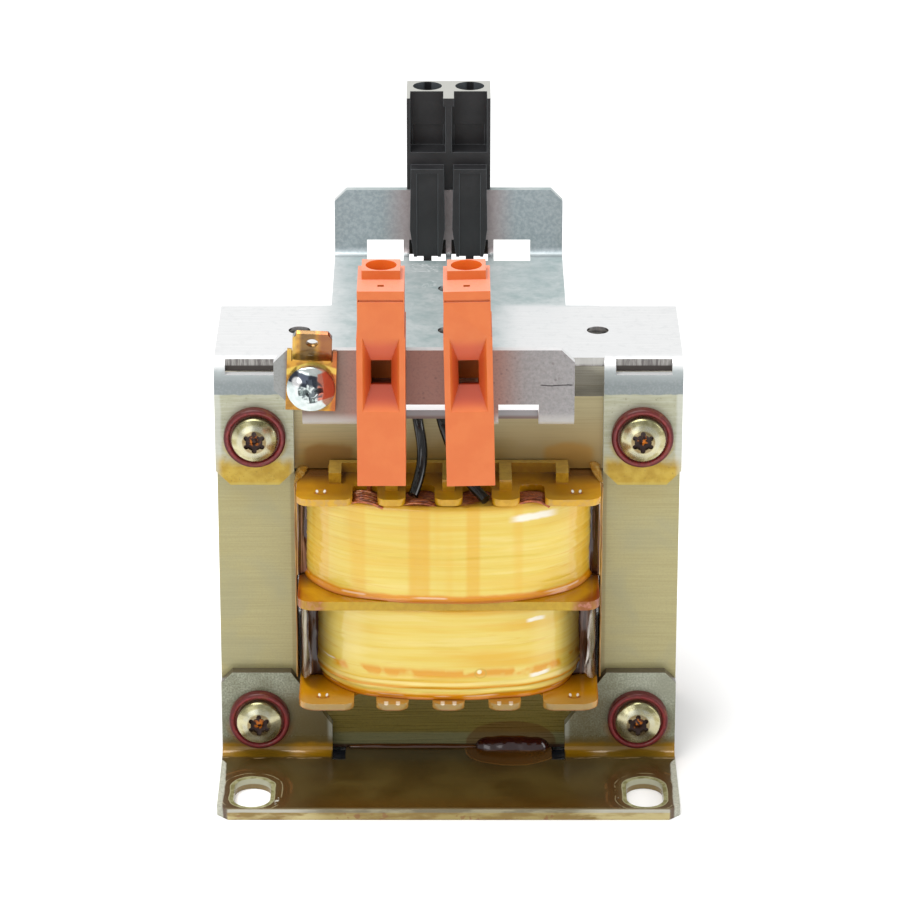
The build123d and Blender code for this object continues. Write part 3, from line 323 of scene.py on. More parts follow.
def side_films():
    """The film down each side of the lower winding: straight beside it, its ends drawn in round the corners
    and trimmed upwards over the lugs."""
    grids = []
    along, s = spread((-1, 1, 90), (0, 1, 44))
    y = 22.0 * np.sign(along) * np.abs(along) ** 1.15
    pull = np.clip((np.abs(y) - 14.0) / 8.0, 0, None)
    z = 16.6 + 3.6 * pull ** 2.2 * (1 - s) + 16.9 * s
    for side in (-1, 1):
        x = 25.12 - (2.0 - 0.9 * s) * pull ** 1.8 + 0.12 * pull * np.sin(z * 0.8 + side)
        grids.append(np.stack([side * x, y + 0.3 * pull * np.sin(z * 1.3), z], -1))
    return thin_sheet("side_films_wavy", grids, 0.2)


def film_flaps():
    """The upper end of each leg film, creased over the corner lug: it stands up at the core's face and runs
    out towards the lug's tip."""
    grids = []
    along, over = spread((0, 1, 26), (0, 1, 14))
    width = 2.1 * (1 - along) ** 0.7 + 0.15
    turn = over * np.pi * 0.62
    x = 25.86 - width * (1 - np.cos(turn)) / 1.37
    for side, way, rise in ((-1, -1, 0.9), (1, -1, 1.9), (-1, 1, 1.1), (1, 1, 1.4)):
        z = 53.0 + (0.95 + rise * (1 - along) ** 1.5) * np.sin(turn) * (1 - 0.25 * over)
        z = np.maximum(z, np.where(x < 25.5, LUG_TOP + 0.12, z)) + 0.03 * np.sin(6 * along + 3 * over + side)
        grids.append(np.stack([side * x, way * (13.2 + 6.0 * along), z], -1))
    return thin_sheet("film_flaps", grids, 0.12)


def notch_strands():
    """Winding wires that cross the notches between the upper lugs, from under one lug to under the next."""
    chance, strands, pitch = np.random.default_rng(12), [], 0.52
    bundles = (
        (-16.8, -11.0, -24.9, -20.6, -1.7), (11.0, 16.8, -24.9, -20.3, -0.4),
        (-7.9, -1.6, -25.6, -24.3, -0.7), (-16.8, -11.0, 20.6, 24.9, 1.2), (11.0, 16.8, 20.6, 24.9, -1.1),
        (1.6, 7.9, 21.0, 24.9, 0.8), (-7.9, -1.6, 21.0, 24.9, -0.8))
    for left, right, near, far, lean in bundles:
        for y in np.arange(near, far, pitch):
            crest = chance.uniform(52.75, 53.25)
            heights = ((0, 52.0), (0.16, 52.6), (0.5, crest), (0.84, 52.6), (1, 52.0))
            strands.append([(left + (right - left) * share + chance.normal(0, 0.1),
                             y + lean * (share - 0.5) + chance.normal(0, 0.09), height)
                            for share, height in heights])
    return lead_curve("notch_strands", strands, 0.27)


def recess_varnish():
    """A pool of varnish in each bolt's recess, its surface dished by the wall that it climbs."""
    wall = 1.97
    radius, angle = np.meshgrid(np.linspace(0.0, wall, 14), np.linspace(0, 2 * np.pi, 48, endpoint=False))
    depth = 1.15 - 0.30 * (radius / wall) ** 3 - 0.35 * np.exp(-((radius - 0.1) / 0.45) ** 2)
    grids = [np.stack([x + radius * np.cos(angle), top + depth, z + radius * np.sin(angle)], -1)
             for z, top in ((LOW_BOLT, LOW_HEAD), (HIGH_BOLT, HIGH_HEAD)) for x in (-BOLT_X, BOLT_X)]
    return new_piece("recess_varnish", grid_mesh("recess_varnish", [g * MM for g in grids], close_u=True))


def varnish_run(name, x0, x1, thick, seed, way=-1):
    """Varnish that has set in the corner between the core and the foot's flange: its section is a hollow
    curve from the core's face to the flange, fattest in the middle of its length."""
    along, turn = spread((0, 1, 90), (0, np.pi / 2, 26))
    body = np.clip(1 - (2 * along - 1) ** 4, 0, 1) ** 0.5
    ripple = 1 + 0.05 * smooth_noise(along, turn / 3, [(1, 0.3), (2, 0.7), (4, -0.5)], seed)
    reach = 0.05 + thick * body * ripple
    y = CORE_FACE + 0.02 + reach * np.sin(turn) ** 1.3
    z = 2.01 + reach * 1.15 * np.cos(turn) ** 1.3
    grid = np.stack([x0 + (x1 - x0) * along, way * y, z], -1)
    return new_piece(name, grid_mesh(name, [grid * MM]))


def relief_shade_sheets():
    """Dark sheets of painted shade in the bend reliefs beside the foot brackets' tabs."""
    x, y = spread((17.2, 20.1, 12), (12.9, 16.6, 12))
    z = 1.05 + 0.25 * ((x - 18.6) / 1.4) ** 2 + 0.15 * ((y - 14.7) / 1.8) ** 2
    return thin_sheet("relief_shade_sheets", [np.stack([side * x, way * y, z], -1) for side, way in CORNERS], 0.2)


def gap_varnish():
    """Dark varnish that closes the gap between each winding's side and the film beside it, in hollow
    beads."""
    grids = []
    for coil, reach, inner in ((UPPER_COIL, 25.62, 22.6), (LOWER_COIL, 24.95, 20.4)):
        across, z = spread((0, 1, 12), (coil["low"] + 0.1, coil["high"] - 0.1, 60))
        x = inner + (reach - inner) * across
        for side, way in CORNERS:
            y = 14.2 + 1.2 * np.sin(z * 0.5 + side) * across * (1 - across)
            y = y + 1.2 * np.abs(2 * across - 1) ** 2
            grids.append(np.stack([side * x, way * y, z], -1))
    return thin_sheet("gap_varnish", grids, 0.3)


# Materials
def tone(red, green, blue):
    """A colour read off a screen, 0 to 255, as the shader's linear colour under this scene's light."""
    def linear(c):
        c /= 255
        return 0.80 * (c / 12.92 if c <= 0.04045 else ((c + 0.055) / 1.055) ** 2.4)
    return (linear(red), linear(green), linear(blue), 1.0)


class Field:
    """A node's output that takes arithmetic."""

    def __init__(self, finish, socket):
        self.finish, self.socket = finish, socket

    def math_node(operation, backwards=False):
        def method(self, *others):
            values = (*others, self) if backwards else (self, *others)
            return self.finish.node("Math", {"operation": operation}, values)
        return method

    __add__ = __radd__ = math_node("ADD")
    __mul__ = __rmul__ = math_node("MULTIPLY")
    __sub__, __rsub__ = math_node("SUBTRACT"), math_node("SUBTRACT", backwards=True)
    __pow__, __abs__, wave = math_node("POWER"), math_node("ABSOLUTE"), math_node("SINE")
    most, least = math_node("MAXIMUM"), math_node("MINIMUM")

    def rise(self, low, high):
        """0 at low, 1 at high, eased between them; low may be the larger."""
        start, end = (0.0, 1.0) if low <= high else (1.0, 0.0)
        return self.finish.node("MapRange", {"interpolation_type": "SMOOTHSTEP"},
                                {0: self, 1: min(low, high), 2: max(low, high), 3: start, 4: end})

    def band(self, low, high, soft):
        """1 between low and high, easing to 0 over soft outside them."""
        return self.rise(low - soft, low) * self.rise(high + soft, high)

    def over(self, mask, *top):
        """Lays another field, or a colour as read off a screen, on this one where mask is 1."""
        self.socket = self.finish.blend(mask, self, top if len(top) == 3 else top[0]).socket


class Finish:
    """A material, with one method for its nodes and a few for what every material needs. x, y and z are the
    object's own millimetres."""

    def __init__(self, name):
        self.material = bpy.data.materials.new(name)
        self.material.use_nodes = True
        self.tree = self.material.node_tree
        self.shader = self.tree.nodes["Principled BSDF"]
        coordinates = self.node("TexCoord", output="Object")
        self.place = self.node("VectorMath", {"operation": "SCALE"}, {0: coordinates, "Scale": 1 / MM})
        self.xyz = [self.node("SeparateXYZ", None, {0: self.place}, output=k) for k in range(3)]
        self.x, self.y, self.z = self.xyz

    def feed(self, socket, value):
        if isinstance(value, Field):
            self.tree.links.new(value.socket, socket)
        else:
            socket.default_value = value

    def node(self, kind, settings=None, values=(), output=0):
        """One node: its settings first, then the values or links of its sockets, by name or number."""
        node = self.tree.nodes.new("ShaderNode" + kind)
        for key, value in (settings or {}).items():
            setattr(node, key, value)
        for key, value in (values.items() if isinstance(values, dict) else enumerate(values)):
            self.feed(node.inputs[key], value)
        return Field(self, node.outputs[output])

    def noise(self, scale, detail=3.0, rough=0.55, stretch=(1, 1, 1), shift=(0, 0, 0), warp=0.0):
        """Cloudy noise about 0.5; scale is in patches per millimetre."""
        place = self.node("Mapping", None, {0: self.place, 1: shift, 3: stretch})
        return self.node("TexNoise", None, {"Vector": place, "Scale": scale, "Detail": detail,
                                                      "Roughness": rough, "Distortion": warp})

    def wander(self, *scale, **settings):
        """Cloudy noise about 0."""
        return self.noise(*scale, **settings) - 0.5

    def cells(self, scale):
        """Distance from the nearest of many scattered points."""
        place = self.node("Mapping", None, {0: self.place, 3: (1, 1, 1)})
        return self.node("TexVoronoi", None, {"Vector": place, "Scale": scale}, "Distance")

    def blend(self, mask, first, second):
        """First colour where mask is 0, second where it is 1; three numbers are a screen's colour."""
        first, second = (tone(*c) if isinstance(c, tuple) and len(c) == 3 else c for c in (first, second))
        return self.node("Mix", {"data_type": "RGBA"}, {0: mask, 6: first, 7: second}, output=2)

    def facing(self, axis):
        """How far the surface faces along one axis, from the true face normal."""
        normal = self.node("NewGeometry", output="True Normal")
        turned = self.node("VectorTransform", {"vector_type": "NORMAL", "convert_from": "WORLD",
                                                         "convert_to": "OBJECT"}, {0: normal})
        return self.node("SeparateXYZ", None, {0: turned}, output=axis)

    def length(self, *parts):
        """The root of the sum of the squares."""
        squares = [part * part for part in parts]
        return sum(squares[1:], squares[0]) ** 0.5

    def from_bolt(self):
        """Distance from the nearest core bolt's axis."""
        middle = (HIGH_BOLT + LOW_BOLT) / 2
        return self.length(abs(self.x) - BOLT_X, abs(self.z - middle) - (HIGH_BOLT - middle))

    def finish(self, colour, rough, relief=None, **sockets):
        """Fills the shader's sockets; relief is a bump's height, strength and distance in millimetres."""
        if relief:
            values = {"Height": relief[0], "Strength": relief[1], "Distance": relief[2] * MM}
            sockets["Normal"] = self.node("Bump", None, values, output="Normal")
        for name, value in {"Base_Color": colour, "Roughness": rough, **sockets}.items():
            self.feed(self.shader.inputs[name.replace("_", " ")], value)
        return self.material


def bracket_look(f):
    """Galvanised sheet, brushed along X: near white on the plate, grey on the upright rails, with specks and
    a scratch; the ears carry a clear varnish below a level line, and a yellow run of it under each washer."""
    x, y, z = f.xyz
    up, front = f.facing(2), f.facing(1)
    across = abs(x)
    brushed = f.noise(1, 5, 0.6, stretch=(0.1, 3, 3))
    cloud = f.noise(0.22, 3, 0.5, warp=0.6)
    mottle = f.noise(0.75, 4, 0.62, warp=0.4)
    grain = f.noise(2.6, 3, 0.6)
    fine = f.noise(1.7, 4, 0.7)
    colour = f.blend(brushed.rise(0.3, 0.72) * 0.4, (238, 239, 239), (218, 219, 220))
    colour.over(mottle.rise(0.5, 0.72) * 0.3, 206, 209, 210)
    behind = y.rise(11, 14)
    right = x.rise(30, 19) * behind + x.rise(13, 5) * (1 - behind)
    middle = right * x.rise(-24, -15) * y.rise(-44, -36)
    middle = (middle * (0.75 + 0.9 * (cloud - 0.5) + 0.8 * (mottle - 0.5))).least(1)
    colour.over(middle * up.rise(0.3, 0.8), 169, 186, 186)
    # The scrawl on the plate, and its bores
    swirl = f.noise(0.26, 1, 0.4, stretch=(1, 1.6, 1), shift=(1.3, 0, 0), warp=2.6)
    scrawl = x.band(-6.3, -2, 0.4) * y.band(29.8, 33.6, 0.4)
    scrawl = scrawl.most(x.band(-4.4, -2.4, 0.5) * y.band(22, 24.6, 1) * 0.6)
    scrawl = scrawl * abs(swirl - 0.5).rise(0.07, 0.02)
    colour.over(scrawl * up.rise(0.5, 0.9) * 0.9, 232, 238, 238)
    upright = abs(front).rise(0.5, 0.85)
    bore = f.length(across - 25.3, y).least(f.length(x, abs(abs(y) - 10.5) - 10.5))
    hole = abs(up).rise(0.3, 0.1) * z.band(72.4, 74.1, 0.05) * bore.rise(2.4, 2.1)
    colour.over(hole, f.blend((z * 9).wave().rise(-0.2, 0.5), (64, 60, 58), (150, 146, 140)))
    # Rails
    rail = upright * z.rise(72, 74.5)
    near = y.rise(-20, -30)
    pink = x.band(-14, 6, 7)
    rail_colour = f.blend(f.noise(1.5, 4, 0.6).rise(0.35, 0.65), (162, 160, 160), (149, 148, 148))
    rear = f.blend(f.noise(1.5, 4, 0.6).rise(0.35, 0.65), (178, 188, 192), (158, 170, 174))
    rail_colour.over(behind, f.blend(fine.rise(0.6, 0.72) * 0.5, rear, (214, 220, 222)))
    rail_colour.over(pink * near * 0.95, 174, 136, 124)
    rail_colour.over(x.rise(-14, -19) * near * 0.95, 138, 117, 104)
    rail_colour.over(x.rise(-25.5, -26.5) * near, 158, 160, 158)
    rail_colour.over(across.rise(12.5, 7.2) * y.rise(20, 30) * 0.5, 190, 158, 154)
    rail_colour.over(grain.rise(0.42, 0.75) * (0.05 + 0.2 * near), 100, 94, 94)
    specks = f.cells(0.7).rise(0.2, 0.1) * f.noise(0.3, 2).rise(0.44, 0.6) * near
    rail_colour.over(specks * 0.35, 84, 70, 70)
    scratch = x.band(15, 19.6, 0.5) * abs(z - 80.1 + 0.5 * f.wander(0.35, 2)).rise(0.16, 0.03)
    rail_colour.over(scratch * y.rise(-30, -38), 48, 42, 46)
    # Painted highlight: the front rail lighter along its lower bend
    rail_colour.over(z.rise(75.6, 74.2) * near * 0.6, 196, 194, 190)
    colour.over(rail, rail_colour)
    window = y.band(-37.4, -37, 0.1) * z.band(72.4, 74.1, 0.1) * upright
    colour.over(window, f.blend(z.rise(73.3, 72.7), (158, 158, 160), (124, 106, 100)))
    # Painted highlight: the plate's top seen through the rail's windows, pure white though the rail shades it
    colour.over(up.rise(0.3, 0.7) * y.band(-38, -34.5, 0.3) * z.rise(75, 74.3), (1, 1, 1, 1))
    # Painted shade: the rear flange's bend darker grey
    bend = abs(front).band(0.12, 0.6, 0.15) * y.rise(34, 38) * z.band(73, 77, 0.5)
    colour.over(bend * 0.7, 140, 146, 148)
    # Ears
    ear = upright * z.rise(73.2, 71.8) * across.rise(24, 25)
    streaks = f.noise(1, 5, 0.65, stretch=(0.16, 1, 2.6))
    # Painted reflection: the bare zinc darker and bluer lower down
    bare = f.blend(z.rise(72.5, 69.4), (182, 190, 190), (140, 149, 150))
    bare.over(grain.rise(0.4, 0.7) * 0.45, 166, 172, 174)
    varnished = f.blend(streaks.rise(0.32, 0.68), (194, 195, 174), (174, 175, 148))
    varnished.over(mottle.rise(0.5, 0.7) * 0.25, 150, 152, 128)
    varnished.over(f.noise(1.6).rise(0.62, 0.74) * 0.5, 128, 128, 98)
    varnished.over((across - 38.2 + cloud).rise(0.2, 0.7) * 0.5, 216, 220, 214)
    level = 67.9 + 0.6 * f.wander(0.5, 2)
    face = f.blend((level - z).rise(-0.1, 0.14), bare, varnished)
    run = (z + 2.2 * f.wander(0.33, warp=0.8)).rise(57.4, 54.9) * abs(across - BOLT_X).rise(7.2, 5.4)
    run = run.most(f.from_bolt().rise(6.2, 5.2) * z.rise(60.5, 57) * 0.8)
    yellow = f.blend(f.noise(0.5, 4, 0.55).rise(0.34, 0.66), (204, 172, 58), (182, 145, 20))
    yellow.over(f.noise(2.4, 3, 0.6).rise(0.6, 0.72) * 0.55, 120, 92, 26)
    yellow.over((z + 0.5 * (cloud - 0.5)).rise(52.3, 51.8) * 0.6, 204, 182, 88)
    face.over(run * 0.92, yellow)
    colour.over(ear, face)
    # Cut edges
    marks = f.noise(1, 4, 0.7, stretch=(1.6, 1, 0.18))
    cut = upright * z.band(71, 74, 0.05) * abs(y).band(11, 13.3, 0.1)
    cut_colour = f.blend(marks.rise(0.38, 0.62), (168, 166, 162), (108, 104, 102))
    # Painted highlight at the top of the cut faces, and painted shade below them, where the space under the
    # plate shows
    cut_colour.over(across.rise(27.5, 26.5) * z.rise(72.5, 73) * 0.75, 206, 206, 202)
    cut_colour.over(z.rise(72.65, 72.35), 66, 60, 56)
    colour.over(cut, cut_colour)
    colour.over(up.rise(-0.5, -0.9), 206, 204, 196)
    rough = 0.3 + 0.22 * brushed + 0.12 * ear + 0.1 * rail
    relief = brushed * 0.5 + grain * 0.5 + marks * cut * 2
    return f.finish(colour, rough, (relief, 0.35, 0.03), Metallic=0.5)


def foot_look(f):
    """Steel under brown varnish: the flange dark and glossy, halos round the slots, bare ends and rim,
    grey-green tabs, and an amber fillet where the varnish gathered in the fold."""
    x, y, z = f.xyz
    up, front = f.facing(2), f.facing(1)
    across, away = abs(x), abs(y)
    cloud = f.noise(0.1, 3, 0.5, warp=0.6)
    weave = f.noise(1, 3, 0.6, stretch=(2.4, 0.5, 0.5))
    fine = f.noise(3.2, 3, 0.6)
    flange = f.blend(cloud.rise(0.34, 0.68), (70, 50, 14), (90, 72, 32))
    flange.over(weave.rise(0.42, 0.7) * 0.22, 104, 86, 46)
    flange.over(across.rise(19.5, 21.5) * away.rise(27, 20) * cloud.rise(0.3, 0.6) * 0.4, 88, 80, 50)
    flange.over(away.rise(31, 36) * 0.5, 86, 52, 10)
    flange.over(x.rise(-17, -23) * 0.35, 58, 44, 14)
    # Varnish in the fold and in pools
    amber = f.blend(cloud.rise(0.38, 0.66), (162, 118, 6), (134, 100, 10))
    amber.over(abs(across - 32).rise(7, 3.5) * 0.5, 124, 98, 34)
    fold = away + 1 * f.wander(0.3, 2, shift=(0, 0, 7))
    flange.over(fold.rise(17.6, 16.4) * across.rise(20, 20.4), amber)
    # Painted highlight: a pale broken line along the fillet's edge
    line = abs(fold - 17.5).rise(0.18, 0.03) * f.noise(0.25, 2, shift=(9, 0, 0)).rise(0.42, 0.56)
    flange.over(line * across.rise(20, 20.6) * 0.7, 196, 170, 128)
    pool = f.length(x - FRONT_POOL_X, (y + 14.5) * 1.35) + 1.2 * f.wander(0.25, 2)
    flange.over(pool.rise(8, 7.7) * 0.55, 118, 70, 14)
    flange.over(abs(pool - 7.9).rise(0.3, 0.05) * 0.5, 150, 110, 60)
    # Round the slots
    slot = f.length(across - SLOT_X, (abs(away - SLOT_Y) - 2.3).most(0)) - 3.1
    drift = 1.1 * f.wander(0.3, 2)
    flange.over((slot + drift).rise(4.4, 2.2) * 0.8, 80, 54, 20)
    arc = abs(slot + 0.5 * drift - 3.4).rise(0.45, 0.05) * f.noise(0.25, 2, shift=(3, 1, 0)).rise(0.42, 0.56)
    flange.over(arc * 0.6, 116, 80, 42)
    arc = abs(slot + 0.4 * drift - 1.9).rise(0.16, 0.02) * f.noise(0.3, 2, shift=(1, 4, 0)).rise(0.46, 0.6)
    flange.over(arc * 0.7, 168, 158, 124)
    rimmed = f.blend(f.noise(0.6).rise(0.4, 0.65), (120, 116, 72), (166, 164, 124))
    flange.over((slot + 0.5 * drift).rise(0.75, 0.55), rimmed)
    flange.over(abs(slot + 0.5 * drift - 0.7).rise(0.14, 0.02) * 0.8, 176, 176, 140)
    chip = f.noise(0.9, 2, shift=(2, 2, 0)).rise(0.58, 0.64) * slot.band(-0.2, 1.4, 0.2)
    flange.over(chip * (across - SLOT_X).rise(-3.5, -4.5) * (away - SLOT_Y).rise(1, 2.5), 226, 228, 218)
    wall = abs(up).rise(0.5, 0.2) * slot.rise(0.6, 0.3)
    walled = f.blend(z.rise(1.05, 0.85), (176, 176, 150), (128, 106, 58))
    flange.over(wall, walled)
    # Bare ends, and the tabs
    end = (across + 1.2 * f.wander(0.14, 2, shift=(0, 5, 0)) + away.rise(20, 16) * -2).rise(37.9, 38.2)
    flange.over(end, f.blend(fine.rise(0.35, 0.7), (192, 192, 176), (158, 158, 142)))
    flange.over(away.rise(36.4, 36.9) * up.rise(0.3, 0.7) * 0.6, 132, 122, 92)
    tab = f.blend(fine.rise(0.36, 0.66), (122, 125, 102), (162, 166, 144))
    tab.over(f.noise(0.2).rise(0.4, 0.66) * 0.5, 96, 94, 62)
    tab.over(z.rise(16, 10.5) * (0.9 - 0.35 * x.rise(-1, 1)) * across.rise(34, 25), 96, 80, 36)
    tab.over(x.rise(28, 34) * z.rise(10, 13) * 0.3, 176, 180, 164)
    tab.over(up.rise(0.3, 0.6) * z.rise(9, 12) * 0.85, 66, 50, 28)
    tab.over((across - 20.2).rise(0.9, 0.2) * 0.5, 196, 200, 188)
    level = z + 1.6 * f.wander(0.22, warp=0.5)
    tab.over(level.rise(5.4, 3.9) * 0.75, 104, 82, 26)
    tab.over(level.rise(4, 3.2), amber)
    tab.over(f.from_bolt().rise(6.6, 5.3) * z.rise(8.5, 5.5) * 0.6, 150, 96, 24)
    colour = f.blend(z.rise(2.15, 2.5), flange, tab)
    # Cut edges
    edge = abs(front).rise(0.6, 0.9) * away.rise(36.8, 37.1) * z.rise(2.3, 2)
    blotch = f.noise(0.5, 4, 0.6, stretch=(0.25, 1, 1))
    lower = f.blend(blotch.rise(0.42, 0.6), (132, 106, 40), (158, 140, 78))
    lower.over(f.noise(0.8, shift=(4, 0, 0)).rise(0.6, 0.68) * 0.7, 128, 76, 30)
    lower.over(across.rise(19, 25) * blotch.rise(0.36, 0.56) * 0.6, 208, 194, 140)
    upper = f.blend(blotch.rise(0.45, 0.62), (112, 104, 80), (150, 142, 112))
    upper.over(across.rise(20, 27) * 0.75, 192, 190, 176)
    colour.over(edge, f.blend((z + 0.25 * (blotch - 0.5)).rise(1.45, 1.3), upper, lower))
    colour.over(up.rise(-0.5, -0.9), 128, 110, 66)
    rough = 0.2 + 0.3 * end + 0.14 * z.rise(4.6, 6.2) + 0.1 * fine
    relief = cloud * 0.5 + fine * 0.2 + slot.rise(1, 0.6) * -0.8
    return f.finish(colour, rough, (relief, 0.35, 0.06), Metallic=0.1, Coat_Weight=0.22 - 0.22 * end)


def lamination_look(f):
    """Stamped sheets, seen on the flat at front and rear and edge on at the sides. The yokes next to the
    windings wear more varnish, with brown patches above the bobbin's walls."""
    x, y, z = f.xyz
    front = abs(f.facing(1))
    across = abs(x)
    lines = f.noise(1, 5, 0.6, stretch=(0.07, 1, 3.4))
    cloud = f.noise(0.12, 3, 0.5, warp=0.5)
    fine = f.noise(3, 3, 0.65)
    leg = f.blend(lines.rise(0.34, 0.68) * 0.55, (179, 170, 121), (159, 150, 101))
    leg.over(fine.rise(0.4, 0.7) * 0.3, 150, 142, 104)
    leg.over(cloud.rise(0.45, 0.7) * 0.35, 152, 152, 124)
    leg.over(z.rise(53, 48) * z.rise(46, 51) * abs(across - BOLT_X).rise(6, 2) * 0.2, 176, 150, 70)
    # The upper yoke
    high = f.blend(z.rise(54, 65.5), (150, 116, 46), (176, 164, 122))
    high.over(lines.rise(0.4, 0.7) * 0.3, 118, 108, 68)
    high.over(x.rise(6, 12) * z.rise(64, 60) * 0.55, 178, 158, 108)
    beside = across - 20.2
    humps = abs(beside).rise(4.8, 3.4).most(abs(x - 9.8).rise(2.8, 1.6))
    humps = humps * (z + 0.9 * f.wander(0.4, 2) + beside * beside * 0.05).rise(59.1, 57.9)
    high.over(humps * 0.8, f.blend(x.rise(0, 10), (134, 92, 28), (176, 132, 54)))
    # The lower yoke
    low = f.blend(lines.rise(0.3, 0.7) * 0.5, (127, 111, 40), (151, 136, 70))
    low.over(fine.rise(0.4, 0.7) * 0.3, 70, 62, 26)
    # Painted reflection: a blue-grey band low on the lower yoke
    low.over(z.band(2.6, 4.4, 0.7) * 0.4, 134, 146, 122)
    drip = f.length((x - FRONT_POOL_X) * 0.5, z - 3) + 0.5 * f.wander(0.4, 2)
    low.over(drip.rise(4, 3.8) * 0.6, 104, 64, 14)
    low.over(z.rise(2.9, 2.3), 58, 34, 8)
    inside = (across + 0.3 * (cloud - 0.5)).rise(26, 25.8)
    colour = f.blend(z.rise(50, 54) * inside, leg, high)
    colour.over(z.rise(16.5, 15) * across.rise(33, 20), low)
    dim = across.band(25.2, 26.6, 0.3) * z.band(15, 54, 0.2)
    colour.over(dim * 0.35, 120, 92, 40)
    # The stack, edge on
    gaps = (y * (2 * math.pi / SHEET)).wave().rise(0.55, 1)
    stack = f.blend(f.noise(1, 4, 0.6, stretch=(1, 2.2, 0.05)).rise(0.3, 0.7), (150, 146, 124),
                    (108, 100, 70))
    stack.over(gaps * 0.75, 44, 36, 20)
    stack.over(f.noise(0.1).rise(0.5, 0.7) * 0.5, 120, 84, 30)
    colour.over(front.rise(0.8, 0.4), stack)
    # The top face: painted light towards the back and painted shade towards the front, under the bracket's
    # plate
    top = f.blend(lines.rise(0.35, 0.65), (255, 250, 232), (236, 228, 204))
    top.over(abs(y).rise(7, 12.8), 150, 144, 126)
    colour.over(f.facing(2).rise(0.5, 0.9), top)
    rough = 0.36 + 0.12 * lines - 0.14 * z.rise(16, 14)
    relief = lines * 0.3 + fine * 0.3 - gaps * front.rise(0.8, 0.4) * 1.5
    return f.finish(colour, rough, (relief, 0.3, 0.03), Metallic=0.3, Coat_Weight=0.15)


def washer_look(f):
    """Maroon fibre with a dark rim, glossy where varnish lies in the dish."""
    reach = f.from_bolt()
    fibre = f.noise(1.6, 4, 0.6)
    colour = f.blend(fibre.rise(0.35, 0.68), (142, 48, 50), (112, 38, 40))
    colour.over(reach.rise(4.6, 5) * 0.85, 76, 20, 16)
    colour.over(reach.rise(4.25, 4) * 0.6, 120, 60, 34)
    colour.over(f.noise(0.4).rise(0.56, 0.7) * 0.5, 140, 84, 44)
    return f.finish(colour, 0.22 + 0.3 * fibre, (fibre, 0.2, 0.05), Coat_Weight=0.3 * reach.rise(4.9, 4.5),
                    Specular_IOR_Level=0.3)


def head_look(f):
    """Yellow-passivated zinc: cream where it mirrors the floor, olive towards the top, brown near the recess;
    the tails behind the nuts are threaded."""
    y = f.y
    reach, up = f.from_bolt(), f.facing(2)
    patch = f.noise(0.45, 3, 0.55, warp=0.8)
    colour = f.blend(patch.rise(0.38, 0.66), (208, 202, 162), (174, 164, 114))
    # Painted reflection: olive on the faces turned upwards
    colour.over((up + 0.5 * (patch - 0.5)).rise(0.12, 0.62) * 0.8, 112, 110, 72)
    colour.over(reach.band(2.2, 2.7, 0.4) * patch.rise(0.35, 0.6) * 0.5, 214, 216, 202)
    colour.over(reach.rise(2.1, 1.9) * 0.6, 120, 84, 40)
    thread = (y * (2 * math.pi / THREAD_PITCH)).wave() * y.rise(17, 17.4) * abs(f.facing(1)).rise(0.5, 0.2)
    rough = 0.14 + 0.22 * patch
    return f.finish(colour, rough, (thread * 3 + patch * 0.3, 0.5, 0.1), Metallic=0.9, Coat_Weight=0.3)


def nut_look(f):
    patch = f.noise(0.7, 4, 0.6)
    colour = f.blend(patch.rise(0.36, 0.66), (206, 202, 190), (150, 144, 124))
    colour.over(f.noise(2.4).rise(0.62, 0.74) * 0.5, 104, 92, 66)
    return f.finish(colour, 0.22 + 0.2 * patch, (patch, 0.2, 0.06), Metallic=0.9)


def sleeve_look(f):
    patch = f.noise(0.9)
    return f.finish(f.blend(patch.rise(0.3, 0.7), (222, 216, 196), (190, 180, 150)), 0.45)


